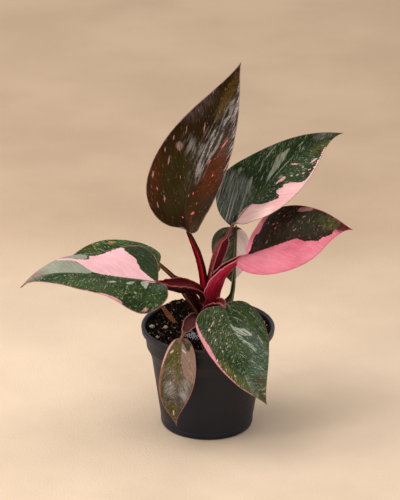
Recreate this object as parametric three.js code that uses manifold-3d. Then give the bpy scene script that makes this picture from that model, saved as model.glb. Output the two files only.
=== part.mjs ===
// A young variegated climbing philodendron with eight leaves, growing in a round nursery pot.
// Millimetres, +Z up. The origin is the centre of the pot's base, on the surface that it stands on,
// and the plant's front looks along -Y.
import * as THREE from "three";
import { mergeVertices } from "three/addons/utils/BufferGeometryUtils.js";
import Module from "manifold-3d";

const wasm = await Module();
wasm.setup();

// ---------------------------------------------------------------- driving dimensions

const CLEARANCE = 0.3; // between neighbouring pieces

// A thin blow-moulded nursery pot: rim band, collar, tapering body, and a raised ring under the floor that
// its drain holes open into.
const POT = {
  height: 96,
  rimRadius: 60,
  rimBottom: 89.5,
  rimLean: 0.6,
  rimRound: 1.6,
  rimStep: 1.5,
  lipFlare: 1.6,
  collarTop: 56.3,
  collarBottom: 55,
  collarLow: 76,
  bodyTop: 50.5,
  bodyHigh: 66.5,
  footRadius: 38,
  footRound: 3.6,
  wall: 1.1,
  drainCount: 8,
  drainRadius: 3.5,
  drainCircle: 22,
  drainSides: 10,
  padRadius: 12,
  channelInner: 14,
  channelOuter: 30,
  channelEnd: 32,
  channelRise: 2,
  sides: 36,
};

// The soil's top: its level, its lumps, and the heaps against the pot's wall and round the stem.
const SOIL = {
  level: 89.2,
  wallGap: 0.4,
  lump: 0.7,
  lumpSpacing: 11,
  lumpTwist: [1.3, 0.6, 0.7],
  heap: { x: -29.5, y: 46, height: 10.5, spread: 18 },
  collarHeap: { x: -4, y: 0, height: 2.5, spread: 22 },
  rings: 7,
  sides: 30,
};

// The stem's centre line, from its buried foot to the growing tip, and its radii at both ends.
const STEM = {
  line: [[-6.8, -2.6, 72], [-6, -3, 89], [-4, -1.4, 104], [-1.2, -0.4, 117]],
  face: [0, 0],
  foot: 4.6,
  top: 3.4,
  sides: 14,
  steps: 10,
};

// The netting sleeve of the plug that the cutting was rooted in.
const PLUG = { x: -7, y: -5, radius: 17, wall: 1, bottom: 78, top: 92.5, sides: 32 };

// A dry orange scale that has fallen onto the soil.
const SCALE = {
  line: [[-41.5, 34, 98], [-38.5, 28, 96.5], [-35, 22.5, 92], [-28.5, 12, 90.8]],
  half: 2.6,
  deep: 1,
  wrap: 80,
  floor: -0.3,
  blunt: 0.06,
  face: [0, 80],
};

// White grains pressed into the soil: place, size and turn about Z.
const GRAINS = [
  { x: -50.5, y: 1, radius: 2.4, turn: 10 },
  { x: -38, y: 2.5, radius: 2.2, turn: 50 },
  { x: -45, y: -20, radius: 1.7, turn: 80 },
  { x: 50, y: 15, radius: 1.9, turn: 25 },
  { x: 50.5, y: -6, radius: 1.6, turn: 65 },
];
const GRAIN = { squash: 0.72, sink: 0.35, skew: 0.18, bumps: [2.3, 1.7, 2.9] };

// Every blade: the midrib's four Bezier points from the stalk to the tip, the way that its upper face
// looks at both ends (degrees from -Y towards +X, degrees above the horizon), the rise of the two halves
// from the midrib and how much of it they lose towards the margin (degrees), the margin's waves (count
// along the blade, and for each half their height and phase), and each half's outline. An outline runs
// from the notch, back round the lobe, to the widest place and on to the drip tip.
const BLADES = {
  crown: {
    midrib: [[-18.5, -5, 186], [-27, 2, 236.5], [12.5, 17.5, 279.5], [25.5, 20.5, 336.5]],
    faces: [[-47, 15], [-5, 14]],
    fold: 24,
    waves: 1.6,
    left: { curl: 13.5, wave: 1.4, phase: -0.08, lobe: -5, lobeSide: 11, notch: 0.35,
      widestAt: 36.5, half: 41, shoulder: 53, drip: 8.5, dripHalf: 2.1 },
    right: { curl: 2, wave: 0.5, phase: 0.19, lobe: -0.5, lobeSide: 5, notch: 0.35,
      widestAt: 40.5, half: 39, shoulder: 48, drip: 22, dripHalf: 1.6 },
  },
  upper_right: {
    midrib: [[20.5, 4.5, 190], [54, 20, 221], [80.5, 21, 261], [118.5, 45.5, 263.5]],
    faces: [[-32, 58], [6, 30]],
    fold: 27,
    waves: 1.5,
    left: { curl: 9, wave: 2.7, phase: 0.93, lobe: 2, lobeSide: 6.5, notch: 0.35,
      widestAt: 27.5, half: 36.5, shoulder: 34.5, drip: 12, dripHalf: 0.6 },
    right: { curl: 6, wave: 1.2, phase: 0.19, lobe: -3.5, lobeSide: 2.5, notch: 0.35,
      widestAt: 46.5, half: 33, shoulder: 48, drip: 31, dripHalf: 0.3 },
  },
  right: {
    midrib: [[32.5, -9.5, 166], [62.5, -20.5, 178], [93.5, -19, 199.5], [125.5, -21.5, 197.5]],
    faces: [[25, 74], [25, 45]],
    fold: 21,
    waves: 1.3,
    left: { curl: 19, wave: 0.7, phase: 0.13, lobe: -0.5, lobeSide: 12.5, notch: 0.35,
      widestAt: 27, half: 39, shoulder: 38, drip: 9.5, dripHalf: 1.7 },
    right: { curl: 31, wave: -0.9, phase: 0.12, lobe: 3, lobeSide: 12, notch: 0.35,
      widestAt: 28.5, half: 37, shoulder: 43, drip: 17, dripHalf: 1 },
  },
  rear: {
    midrib: [[24, 33.5, 176], [23, 50.5, 158], [20.5, 47.5, 131.5], [22.5, 61.5, 109.5]],
    faces: [[169, 13], [180, 10]],
    fold: -15,
    waves: 1,
    left: { curl: 16, wave: 0.3, phase: 0.03, lobe: 2.5, lobeSide: 8, notch: 0.35,
      widestAt: 20, half: 21.5, shoulder: 25.5, drip: 8.5, dripHalf: 0.9 },
    right: { curl: 40, wave: -0.1, phase: 0.12, lobe: 4.5, lobeSide: 8, notch: 0.35,
      widestAt: 19, half: 20.5, shoulder: 23, drip: 11.5, dripHalf: 0.8 },
  },
  left: {
    midrib: [[-45, -25, 146.5], [-96, -31.5, 152], [-141, -55.5, 176], [-165, -41, 146.5]],
    faces: [[-10, 69], [-22, 85]],
    fold: 14,
    waves: 1.7,
    left: { curl: 32, wave: -3.7, phase: 0.03, lobe: 8, lobeSide: 15.5, notch: 0.35,
      widestAt: 20.5, half: 39, shoulder: 41, drip: 7, dripHalf: 1.6 },
    right: { curl: 13, wave: 3.6, phase: 0.04, lobe: 1, lobeSide: 16, notch: 0.35,
      widestAt: 17.5, half: 38.5, shoulder: 37.5, drip: 7.5, dripHalf: 1.5 },
  },
  left_rear: {
    midrib: [[-46, 5.5, 152.5], [-77.5, 4.5, 156.5], [-109, 10.5, 149.5], [-140.5, 12, 139.5]],
    faces: [[0, 83], [-14, 43]],
    fold: 11,
    waves: 1.4,
    left: { curl: 36, wave: 0.2, phase: 0.1, lobe: 2.5, lobeSide: 10.5, notch: 0.35,
      widestAt: 27.5, half: 31.5, shoulder: 34.5, drip: 14, dripHalf: 1.2 },
    right: { curl: 30, wave: 0.9, phase: 0.13, lobe: 3, lobeSide: 10, notch: 0.35,
      widestAt: 27.5, half: 32, shoulder: 34.5, drip: 15, dripHalf: 1.1 },
  },
  front: {
    midrib: [[14, -34.5, 128], [22, -52, 101], [31, -77, 82], [52.5, -81, 54.5]],
    faces: [[37, 46], [26, 11]],
    fold: 10,
    waves: 1.5,
    left: { curl: 22, wave: 0.5, phase: 0.9, lobe: 3.5, lobeSide: 13.5, notch: 0.35,
      widestAt: 23, half: 36, shoulder: 34, drip: 8.5, dripHalf: 1.6 },
    right: { curl: 7, wave: -0.6, phase: 0.17, lobe: 1, lobeSide: 13.5, notch: 0.35,
      widestAt: 17.5, half: 35.5, shoulder: 32, drip: 15.5, dripHalf: 0.9 },
  },
  small_front: {
    midrib: [[-23, -56, 107], [-22.5, -61.5, 78], [-33, -70.5, 52.5], [-26.5, -64, 24.5]],
    faces: [[-14, 44], [-8, 5]],
    fold: 18,
    waves: 1.3,
    left: { curl: 10, wave: 0.6, phase: 0.14, lobe: -0.5, lobeSide: 3, notch: 0.35,
      widestAt: 32.5, half: 16.5, shoulder: 26.5, drip: 15, dripHalf: 0.6 },
    right: { curl: 12, wave: -0.1, phase: 0.07, lobe: -0.5, lobeSide: 3, notch: 0.35,
      widestAt: 35.5, half: 16, shoulder: 28, drip: 15, dripHalf: 0.6 },
  },
};

const BLADE = {
  midribThick: 0.9,
  marginThick: 0.5,
  rows: 16,
  columns: 4,
  veinLead: 1.5,
  notchReach: 0.9,
  notchOut: 0.1,
  waveBack: -0.1,
};

// Every leaf stalk: three Bezier points from the stem outwards (the fourth is the blade's base), the way
// that its groove looks at both ends, and its section at stations along it. A section is an ellipse of
// the given half width and depth, open at the top: it wraps up from the keel to the given angle on each
// side, and its groove is filled up to the floor, which is measured from the centre line.
const STALKS = {
  crown: {
    line: [[-1, 0.5, 121], [-7, 4, 132.5], [-2, -1, 150.5]],
    faces: [[-58, 12], [-45, 20]],
    stations: [
      { at: 0, half: 5.4, deep: 5, wrap: 100, floor: -2 },
      { at: 0.35, half: 4.2, deep: 4, wrap: 104, floor: -1.5 },
      { at: 0.68, half: 3.6, deep: 3.4, wrap: 110, floor: -0.5 },
      { at: 0.84, half: 2.7, deep: 2.6, wrap: 130, floor: 0.9 },
      { at: 1, half: 1.9, deep: 2, wrap: 145, floor: 0.9 },
    ],
  },
  upper_right: {
    line: [[0, 1.5, 121], [5.5, 5, 155], [6.5, 4, 158]],
    faces: [[45, 15], [40, 25]],
    stations: [
      { at: 0, half: 5, deep: 4.6, wrap: 104, floor: -2 },
      { at: 0.3, half: 5.2, deep: 4.6, wrap: 124, floor: -2.6 },
      { at: 0.62, half: 6, deep: 5, wrap: 130, floor: -3.2 },
      { at: 0.76, half: 4.8, deep: 4, wrap: 118, floor: -1.8 },
      { at: 0.83, half: 1.8, deep: 1.9, wrap: 140, floor: 0.9 },
      { at: 1, half: 1.5, deep: 1.6, wrap: 145, floor: 0.9 },
    ],
  },
  right: {
    line: [[1.5, -1, 108.5], [-2, -3.5, 134], [8, -8, 155]],
    faces: [[-98, 15], [-85, 62]],
    stations: [
      { at: 0, half: 7, deep: 7, wrap: 118, floor: -2.4 },
      { at: 0.2, half: 7.6, deep: 9.4, wrap: 124, floor: -4.4 },
      { at: 0.42, half: 6.9, deep: 8.8, wrap: 124, floor: -4.2 },
      { at: 0.66, half: 6.4, deep: 6.4, wrap: 118, floor: -3 },
      { at: 0.84, half: 4.6, deep: 4.2, wrap: 112, floor: -1.6 },
      { at: 1, half: 1.9, deep: 2, wrap: 145, floor: 0.9 },
    ],
  },
  rear: {
    line: [[-1.5, 0.5, 110], [24.5, 14, 117.5], [22, 24, 93.5]],
    faces: [[-90, 45], [0, 20]],
    stations: [
      { at: 0, half: 5.4, deep: 4.4, wrap: 94, floor: -2 },
      { at: 0.22, half: 5.4, deep: 4.2, wrap: 90, floor: -2 },
      { at: 0.36, half: 2.1, deep: 2, wrap: 124, floor: 0.3 },
      { at: 0.6, half: 1.5, deep: 1.5, wrap: 140, floor: 0.7 },
      { at: 1, half: 1.3, deep: 1.3, wrap: 145, floor: 0.6 },
    ],
  },
  left: {
    line: [[-2, -3, 118], [-2, -9, 144], [-29.5, -19, 139]],
    faces: [[0, 70], [-10, 76]],
    stations: [
      { at: 0, half: 7, deep: 5.6, wrap: 96, floor: -3 },
      { at: 0.3, half: 6.2, deep: 5.2, wrap: 104, floor: -3.4 },
      { at: 0.62, half: 8, deep: 7.4, wrap: 114, floor: -4.8 },
      { at: 0.84, half: 6, deep: 5.2, wrap: 112, floor: -2.8 },
      { at: 0.93, half: 3, deep: 2.8, wrap: 122, floor: -0.3 },
      { at: 1, half: 1.8, deep: 1.9, wrap: 140, floor: 0.9 },
    ],
  },
  left_rear: {
    line: [[-4, -1.5, 99], [-9.5, 0.5, 123], [-37, 4, 145.5]],
    faces: [[60, 40], [20, 60]],
    stations: [
      { at: 0, half: 5.6, deep: 4.6, wrap: 100, floor: -2 },
      { at: 0.36, half: 6.8, deep: 5, wrap: 100, floor: -2.6 },
      { at: 0.62, half: 5, deep: 4, wrap: 104, floor: -1.6 },
      { at: 0.74, half: 2.1, deep: 2.1, wrap: 140, floor: 0.9 },
      { at: 1, half: 1.8, deep: 1.8, wrap: 145, floor: 0.8 },
    ],
  },
  front: {
    line: [[-2.5, -2, 113.5], [2, -12, 124], [11, -24, 132]],
    faces: [[0, 62], [10, 62]],
    stations: [
      { at: 0, half: 6.6, deep: 5, wrap: 94, floor: -3 },
      { at: 0.45, half: 6.4, deep: 4.8, wrap: 94, floor: -3.2 },
      { at: 0.76, half: 5, deep: 3.8, wrap: 94, floor: -2 },
      { at: 1, half: 1.7, deep: 1.8, wrap: 140, floor: 0.9 },
    ],
  },
  small_front: {
    line: [[-5, -4, 101], [-8, -16, 116], [-15.5, -36, 116]],
    faces: [[20, 60], [10, 60]],
    stations: [
      { at: 0, half: 5, deep: 4.2, wrap: 96, floor: -2 },
      { at: 0.3, half: 6.2, deep: 4.6, wrap: 92, floor: -2.8 },
      { at: 0.62, half: 6.6, deep: 4.6, wrap: 90, floor: -3 },
      { at: 0.82, half: 4.2, deep: 3.2, wrap: 96, floor: -1.4 },
      { at: 0.92, half: 1.8, deep: 1.9, wrap: 130, floor: 0.5 },
      { at: 1, half: 1.3, deep: 1.4, wrap: 140, floor: 0.6 },
    ],
  },
};

const STALK = { wingWall: 0.8, steps: 11, outerPoints: 7, innerPoints: 4 };

const COLOURS = {
  pot: [0x26282b, 0.45],
  soil: [0x1d130d, 0.95],
  stem: [0x5a1420, 0.5],
  darkBlade: [0x2c1a14, 0.3],
  greenBlade: [0x2c4a30, 0.35],
  pinkBlade: [0xe98ba0, 0.4],
  duskyBlade: [0x6c5a4e, 0.4],
  stalk: [0x7c1a30, 0.4],
  oldStalk: [0x6a5634, 0.5],
  netting: [0x8f9aa3, 0.8],
  scale: [0x9a5a22, 0.7],
  grain: [0xe6ddc8, 0.9],
};

// ---------------------------------------------------------------- solids

const toVector = (point) => new THREE.Vector3(...point);

function toSolid(geometry) {
  const bare = geometry.clone();
  bare.deleteAttribute("normal");
  bare.deleteAttribute("uv");
  const merged = mergeVertices(bare, 1e-4);
  return new wasm.Manifold(
    new wasm.Mesh({
      numProp: 3,
      vertProperties: merged.attributes.position.array,
      triVerts: new Uint32Array(merged.index.array),
    }),
  );
}

function toGeometry(solid) {
  const mesh = solid.getMesh();
  const geometry = new THREE.BufferGeometry();
  geometry.setAttribute("position", new THREE.BufferAttribute(mesh.vertProperties, 3));
  geometry.setIndex(new THREE.BufferAttribute(mesh.triVerts, 1));
  geometry.computeVertexNormals();
  return geometry;
}

function indexed(points, triangles) {
  const geometry = new THREE.BufferGeometry();
  const places = points.flatMap((p) => [p.x, p.y, p.z]);
  geometry.setAttribute("position", new THREE.Float32BufferAttribute(places, 3));
  geometry.setIndex(triangles.flat());
  return geometry;
}

// What is left of a piece when its neighbours have taken their room. Loose slivers are dropped.
function carved(solid, neighbours) {
  const left = neighbours.reduce((rest, neighbour) => rest.subtract(neighbour), solid);
  const pieces = left.decompose();
  return pieces.reduce((most, piece) => (piece.volume() > most.volume() ? piece : most));
}

// ---------------------------------------------------------------- directions and frames

function direction([azimuth, elevation]) {
  const turn = THREE.MathUtils.degToRad(azimuth);
  const rise = THREE.MathUtils.degToRad(elevation);
  const level = Math.cos(rise);
  return new THREE.Vector3(Math.sin(turn) * level, -Math.cos(turn) * level, Math.sin(rise));
}

// The place, the upward way and the leftward way at a share of a curve's length. Past the curve's start,
// a negative share runs straight back.
function frameOn(curve, share, faces) {
  const t = curve.getUtoTmapping(THREE.MathUtils.clamp(share, 0, 1));
  const along = curve.getTangent(t);
  const place = curve.getPoint(t).addScaledVector(along, Math.min(share, 0) * curve.getLength());
  const up = direction(faces[0]).lerp(direction(faces[1]), t).normalize();
  up.addScaledVector(along, -up.dot(along)).normalize();
  const left = new THREE.Vector3().crossVectors(up, along);
  return { place, up, left };
}

// ---------------------------------------------------------------- blades

// One half of a blade's outline in the flat, as evenly spaced points (along the midrib, out from it).
function halfOutline(half, length) {
  const point = (x, y) => new THREE.Vector2(x, y);
  const round = 0.5523; // a quarter of an ellipse by one Bezier curve
  const notch = point(0, 0);
  const lobe = point(-half.lobe, half.lobeSide);
  const widest = point(half.widestAt, half.half);
  const tip = point(length, 0);
  const path = new THREE.CurvePath();
  path.add(new THREE.CubicBezierCurve(
    notch,
    point(-half.lobe * BLADE.notchReach, half.lobeSide * BLADE.notchOut),
    point(-half.lobe, half.lobeSide * half.notch),
    lobe,
  ));
  path.add(new THREE.CubicBezierCurve(
    lobe,
    point(-half.lobe, half.lobeSide + round * (half.half - half.lobeSide)),
    point(half.widestAt - round * (half.widestAt + half.lobe), half.half),
    widest,
  ));
  path.add(new THREE.CubicBezierCurve(
    widest,
    point(half.widestAt + half.shoulder, half.half),
    point(length - half.drip, half.dripHalf),
    tip,
  ));
  return path.getSpacedPoints(BLADE.rows);
}

function bladeCurve(blade) {
  return new THREE.CubicBezierCurve3(...blade.midrib.map(toVector));
}

// The place on the bent blade of a point of the flat one. side is 1 on the left half and -1 on the right.
function onBlade(blade, curve, along, out, side) {
  const half = side > 0 ? blade.left : blade.right;
  const share = along / curve.getLength();
  const { place, up, left } = frameOn(curve, share, blade.faces);
  const fold = THREE.MathUtils.degToRad(blade.fold);
  const curl = THREE.MathUtils.degToRad(half.curl) || 1e-4;
  const reach = out / half.half;
  const across = (half.half * (Math.sin(fold) - Math.sin(fold - curl * reach))) / curl;
  const bend = (half.half * (Math.cos(fold - curl * reach) - Math.cos(fold))) / curl;
  const turns = blade.waves * THREE.MathUtils.clamp(share, BLADE.waveBack, 1) + half.phase;
  const ripple = half.wave * Math.sin(2 * Math.PI * turns) * reach * reach;
  return place.addScaledVector(left, side * across).addScaledVector(up, bend + ripple);
}

// The blade as a sheet: rows that follow the side veins out from the midrib, between a single point at
// the notch and one at the tip.
function bladeSheet(blade) {
  const curve = bladeCurve(blade);
  const length = curve.getLength();
  const outlines = { 1: halfOutline(blade.left, length), [-1]: halfOutline(blade.right, length) };
  const points = [onBlade(blade, curve, 0, 0, 1)];
  const shares = [0];
  const across = 2 * BLADE.columns + 1;
  for (let row = 1; row < BLADE.rows; row++) {
    const root = length * (row / BLADE.rows) ** BLADE.veinLead;
    for (let column = -BLADE.columns; column <= BLADE.columns; column++) {
      const side = column < 0 ? -1 : 1;
      const share = Math.abs(column) / BLADE.columns;
      const rim = outlines[side][row];
      points.push(onBlade(blade, curve, root + (rim.x - root) * share, rim.y * share, side));
      shares.push(share);
    }
  }
  points.push(onBlade(blade, curve, length, 0, 1));
  shares.push(0);
  const at = (row, column) => 1 + (row - 1) * across + column;
  const tip = points.length - 1;
  const triangles = [];
  for (let column = 0; column < across - 1; column++) {
    triangles.push([0, at(1, column), at(1, column + 1)]);
    for (let row = 1; row < BLADE.rows - 1; row++) {
      const corners = [at(row, column), at(row + 1, column), at(row + 1, column + 1), at(row, column + 1)];
      triangles.push([corners[0], corners[1], corners[2]], [corners[0], corners[2], corners[3]]);
    }
    triangles.push([at(BLADE.rows - 1, column), tip, at(BLADE.rows - 1, column + 1)]);
  }
  return { points, shares, triangles };
}

// Gives a sheet its thickness, half to each side, and closes it round the margin. grow makes it fatter
// all over, for cutting clearance into its neighbours.
function thickened({ points, shares, triangles }, grow) {
  const sheet = indexed(points, triangles);
  sheet.computeVertexNormals();
  const normals = sheet.attributes.normal;
  const offset = (side) => points.map((point, i) => {
    const thick = THREE.MathUtils.lerp(BLADE.midribThick, BLADE.marginThick, shares[i]);
    const normal = new THREE.Vector3().fromBufferAttribute(normals, i);
    return point.clone().addScaledVector(normal, side * (thick / 2 + grow));
  });
  const count = points.length;
  const faces = [];
  const edges = new Map();
  for (const [a, b, c] of triangles) {
    faces.push([a, b, c], [count + a, count + c, count + b]);
    for (const [from, to] of [[a, b], [b, c], [c, a]]) {
      const back = `${to},${from}`;
      if (edges.has(back)) edges.delete(back);
      else edges.set(`${from},${to}`, [from, to]);
    }
  }
  for (const [from, to] of edges.values()) {
    faces.push([to, from, count + from], [to, count + from, count + to]);
  }
  return toSolid(indexed([...offset(1), ...offset(-1)], faces));
}

// ---------------------------------------------------------------- swept pieces

// The measures of a section at a share of the length, eased from station to station.
function stationAt(stations, share) {
  const next = stations.findIndex((station) => station.at >= share);
  if (next <= 0) return stations[0];
  const [a, b] = [stations[next - 1], stations[next]];
  const eased = THREE.MathUtils.smoothstep(share, a.at, b.at);
  const mix = (key) => THREE.MathUtils.lerp(a[key], b[key], eased);
  return { half: mix("half"), deep: mix("deep"), wrap: mix("wrap"), floor: mix("floor") };
}

// The section's corners: round the outside from wing to wing, and back along the groove.
function grooveSection({ half, deep, wrap, floor }, grow) {
  const limit = THREE.MathUtils.degToRad(wrap) + (1.5 * grow) / half;
  const corners = [];
  for (let i = 0; i < STALK.outerPoints; i++) {
    const angle = THREE.MathUtils.lerp(-limit, limit, i / (STALK.outerPoints - 1));
    const x = (half + grow) * Math.sin(angle);
    corners.push(new THREE.Vector2(x, -(deep + grow) * Math.cos(angle)));
  }
  const inside = { half: half - STALK.wingWall - grow, deep: deep - STALK.wingWall - grow };
  for (let i = 1; i <= STALK.innerPoints; i++) {
    const angle = THREE.MathUtils.lerp(limit, -limit, i / (STALK.innerPoints + 1));
    const y = Math.max(-inside.deep * Math.cos(angle), floor + grow);
    corners.push(new THREE.Vector2(inside.half * Math.sin(angle), y));
  }
  return corners;
}

// A solid swept along a curve. sectionOf gives the corners at a share of the length, always as many.
// grow lengthens it at both ends.
function swept(curve, faces, steps, sectionOf, grow) {
  const rings = [];
  for (let step = 0; step <= steps; step++) {
    const share = step / steps;
    const { place, up, left } = frameOn(curve, share, faces);
    if (step === 0) place.addScaledVector(curve.getTangent(0), -grow);
    if (step === steps) place.addScaledVector(curve.getTangent(1), grow);
    const ring = sectionOf(share).map((corner) =>
      place.clone().addScaledVector(left, corner.x).addScaledVector(up, corner.y));
    rings.push(ring);
  }
  const around = rings[0].length;
  const triangles = [];
  for (let step = 0; step < steps; step++) {
    for (let i = 0; i < around; i++) {
      const j = (i + 1) % around;
      const [a, b] = [step * around + i, step * around + j];
      triangles.push([a, b, b + around], [a, b + around, a + around]);
    }
  }
  const cap = (share) => THREE.ShapeUtils.triangulateShape(sectionOf(share), []);
  const last = steps * around;
  for (const [a, b, c] of cap(0)) triangles.push([a, c, b]);
  for (const [a, b, c] of cap(1)) triangles.push([last + a, last + b, last + c]);
  return toSolid(indexed(rings.flat(), triangles));
}

function stalkSolid(name, grow = 0) {
  const stalk = STALKS[name];
  const points = [...stalk.line, BLADES[name].midrib[0]].map(toVector);
  const curve = new THREE.CubicBezierCurve3(...points);
  const sectionOf = (share) => grooveSection(stationAt(stalk.stations, share), grow);
  return swept(curve, stalk.faces, STALK.steps, sectionOf, grow);
}

function scaleSolid(grow = 0) {
  const curve = new THREE.CubicBezierCurve3(...SCALE.line.map(toVector));
  const sectionOf = (share) => {
    const inner = THREE.MathUtils.clamp(share, SCALE.blunt, 1 - SCALE.blunt);
    const taper = Math.sqrt(Math.sin(Math.PI * inner));
    return grooveSection({ ...SCALE, half: SCALE.half * taper }, grow);
  };
  return swept(curve, [SCALE.face, SCALE.face], STALK.steps, sectionOf, grow);
}

function stemSolid(grow = 0) {
  const curve = new THREE.CubicBezierCurve3(...STEM.line.map(toVector));
  const sectionOf = (share) => {
    const radius = THREE.MathUtils.lerp(STEM.foot, STEM.top, share) + grow;
    return Array.from({ length: STEM.sides }, (_, i) => {
      const angle = (2 * Math.PI * i) / STEM.sides;
      return new THREE.Vector2(radius * Math.cos(angle), radius * Math.sin(angle));
    });
  };
  return swept(curve, [STEM.face, STEM.face], STEM.steps, sectionOf, grow);
}

// ---------------------------------------------------------------- turned pieces

// A solid of revolution about Z. The profile holds (radius, height) pairs.
function turned(profile, sides) {
  const points = profile.map(([radius, height]) => new THREE.Vector2(radius, height));
  const geometry = new THREE.LatheGeometry(points, sides);
  geometry.rotateX(Math.PI / 2);
  const solid = toSolid(geometry);
  if (solid.volume() > 0) return solid;
  return turned([...profile].reverse(), sides);
}

function arc(centre, radius, from, to, steps) {
  return Array.from({ length: steps + 1 }, (_, i) => {
    const angle = THREE.MathUtils.degToRad(THREE.MathUtils.lerp(from, to, i / steps));
    return [centre[0] + radius * Math.cos(angle), centre[1] + radius * Math.sin(angle)];
  });
}

// The pot's inner wall, from the rim down to the floor's corner. inset draws it inwards.
function potWall(inset) {
  const { wall } = POT;
  const corners = [
    [POT.collarTop + POT.lipFlare, POT.height],
    [POT.collarTop, POT.height - POT.rimRound],
    [POT.collarTop - wall, POT.rimBottom - POT.rimStep],
    [POT.collarBottom - wall, POT.collarLow],
    [POT.bodyTop - wall, POT.bodyHigh],
    [POT.footRadius + POT.footRound - wall, POT.footRound],
  ];
  return corners.map(([radius, z]) => [radius - inset, z]);
}

// The inner floor, from its corner to the middle. Its slopes are moved out by half the wall, which keeps
// them about as thick as the rest.
function potFloor() {
  const { wall } = POT;
  return [
    [POT.footRadius, wall],
    [POT.channelEnd + wall / 2, wall],
    [POT.channelOuter + wall / 2, POT.channelRise + wall],
    [POT.channelInner - wall / 2, POT.channelRise + wall],
    [POT.padRadius - wall / 2, wall],
    [0, wall],
  ];
}

function potSolid() {
  const { wall } = POT;
  const rimTurn = [POT.rimRadius - POT.rimRound, POT.height - POT.rimRound];
  const footTurn = [POT.footRadius, POT.footRound];
  const outside = [
    [0, 0],
    [POT.padRadius, 0],
    [POT.channelInner, POT.channelRise],
    [POT.channelOuter, POT.channelRise],
    [POT.channelEnd, 0],
    ...arc(footTurn, POT.footRound, -90, 0, 3),
    [POT.bodyTop, POT.bodyHigh],
    [POT.collarBottom, POT.collarLow],
    [POT.collarTop, POT.rimBottom - POT.rimStep],
    [POT.rimRadius - POT.rimLean, POT.rimBottom],
    ...arc(rimTurn, POT.rimRound, 0, 90, 3),
  ];
  const cup = turned([...outside, ...potWall(0), ...potFloor()], POT.sides);
  const drains = Array.from({ length: POT.drainCount }, (_, i) => {
    const angle = (2 * Math.PI * (i + 0.5)) / POT.drainCount;
    const drill = new THREE.CylinderGeometry(POT.drainRadius, POT.drainRadius, 4 * wall, POT.drainSides);
    drill.rotateX(Math.PI / 2);
    const [x, y] = [POT.drainCircle * Math.cos(angle), POT.drainCircle * Math.sin(angle)];
    drill.translate(x, y, POT.channelRise + wall / 2);
    return toSolid(drill);
  });
  return carved(cup, drains);
}

// ---------------------------------------------------------------- soil

const bell = ({ x, y, height, spread }, px, py) =>
  height * Math.exp(-((px - x) ** 2 + (py - y) ** 2) / (spread * spread));

function soilHeight(x, y) {
  const turnX = (2 * Math.PI * x) / SOIL.lumpSpacing;
  const turnY = (2 * Math.PI * y) / SOIL.lumpSpacing;
  const [sway, slowY, slowX] = SOIL.lumpTwist;
  const lumps = Math.sin(turnX + sway * Math.sin(slowY * turnY)) * Math.cos(turnY + Math.sin(slowX * turnX));
  return SOIL.level + SOIL.lump * lumps + bell(SOIL.heap, x, y) + bell(SOIL.collarHeap, x, y);
}

// The soil fills the pot: a column with a rough top, cut to the pot's inside.
function soilSolid() {
  const { rings, sides } = SOIL;
  const points = [new THREE.Vector3(0, 0, soilHeight(0, 0))];
  for (let ring = 1; ring <= rings; ring++) {
    for (let side = 0; side < sides; side++) {
      const angle = (2 * Math.PI * side) / sides;
      const radius = (POT.rimRadius * ring) / rings;
      const [x, y] = [radius * Math.cos(angle), radius * Math.sin(angle)];
      points.push(new THREE.Vector3(x, y, soilHeight(x, y)));
    }
  }
  for (let side = 0; side < sides; side++) {
    const angle = (2 * Math.PI * side) / sides;
    points.push(new THREE.Vector3(POT.rimRadius * Math.cos(angle), POT.rimRadius * Math.sin(angle), 0));
  }
  points.push(new THREE.Vector3(0, 0, 0));
  const bands = rings + 1;
  const at = (ring, side) => 1 + (ring - 1) * sides + (side % sides);
  const triangles = [];
  for (let side = 0; side < sides; side++) {
    triangles.push([0, at(1, side), at(1, side + 1)]);
    for (let ring = 1; ring < bands; ring++) {
      const corners = [at(ring, side), at(ring + 1, side), at(ring + 1, side + 1), at(ring, side + 1)];
      triangles.push([corners[0], corners[1], corners[2]], [corners[0], corners[2], corners[3]]);
    }
    triangles.push([at(bands, side), points.length - 1, at(bands, side + 1)]);
  }
  const top = POT.height + SOIL.heap.height;
  const floor = POT.channelRise + POT.wall + SOIL.wallGap;
  const mouth = POT.collarTop + POT.lipFlare - SOIL.wallGap;
  const inside = turned([[0, top], [mouth, top], ...potWall(SOIL.wallGap), [0, floor]], POT.sides);
  return toSolid(indexed(points, triangles)).intersect(inside);
}

function grainSolid(grain, grow = 0) {
  const geometry = new THREE.IcosahedronGeometry(grain.radius, 1);
  const places = geometry.attributes.position;
  for (let i = 0; i < places.count; i++) {
    const [x, y, z] = [places.getX(i), places.getY(i), places.getZ(i)];
    const [bumpX, bumpY, bumpZ] = GRAIN.bumps;
    const swell = 1 + GRAIN.skew * Math.sin(bumpX * x + bumpY * y + bumpZ * z);
    places.setXYZ(i, x * swell, y * swell, z * swell * GRAIN.squash);
  }
  const size = 1 + (2 * grow) / grain.radius;
  geometry.scale(size, size, size);
  geometry.rotateZ(THREE.MathUtils.degToRad(grain.turn));
  const rise = soilHeight(grain.x, grain.y) + grain.radius * (GRAIN.squash - GRAIN.sink);
  geometry.translate(grain.x, grain.y, rise);
  return toSolid(geometry);
}

function plugSolid(grow = 0) {
  const [inner, outer] = [PLUG.radius - PLUG.wall - grow, PLUG.radius + grow];
  const [bottom, top] = [PLUG.bottom - grow, PLUG.top + grow];
  const ring = turned([[inner, bottom], [outer, bottom], [outer, top], [inner, top], [inner, bottom]],
    PLUG.sides);
  return ring.translate(PLUG.x, PLUG.y, 0);
}

// ---------------------------------------------------------------- the plant in its pot

const plant = new THREE.Group();

function add(name, solid, [colour, roughness]) {
  const material = new THREE.MeshStandardMaterial({ color: colour, roughness, metalness: 0 });
  const mesh = new THREE.Mesh(toGeometry(solid), material);
  mesh.name = name;
  plant.add(mesh);
}

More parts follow.
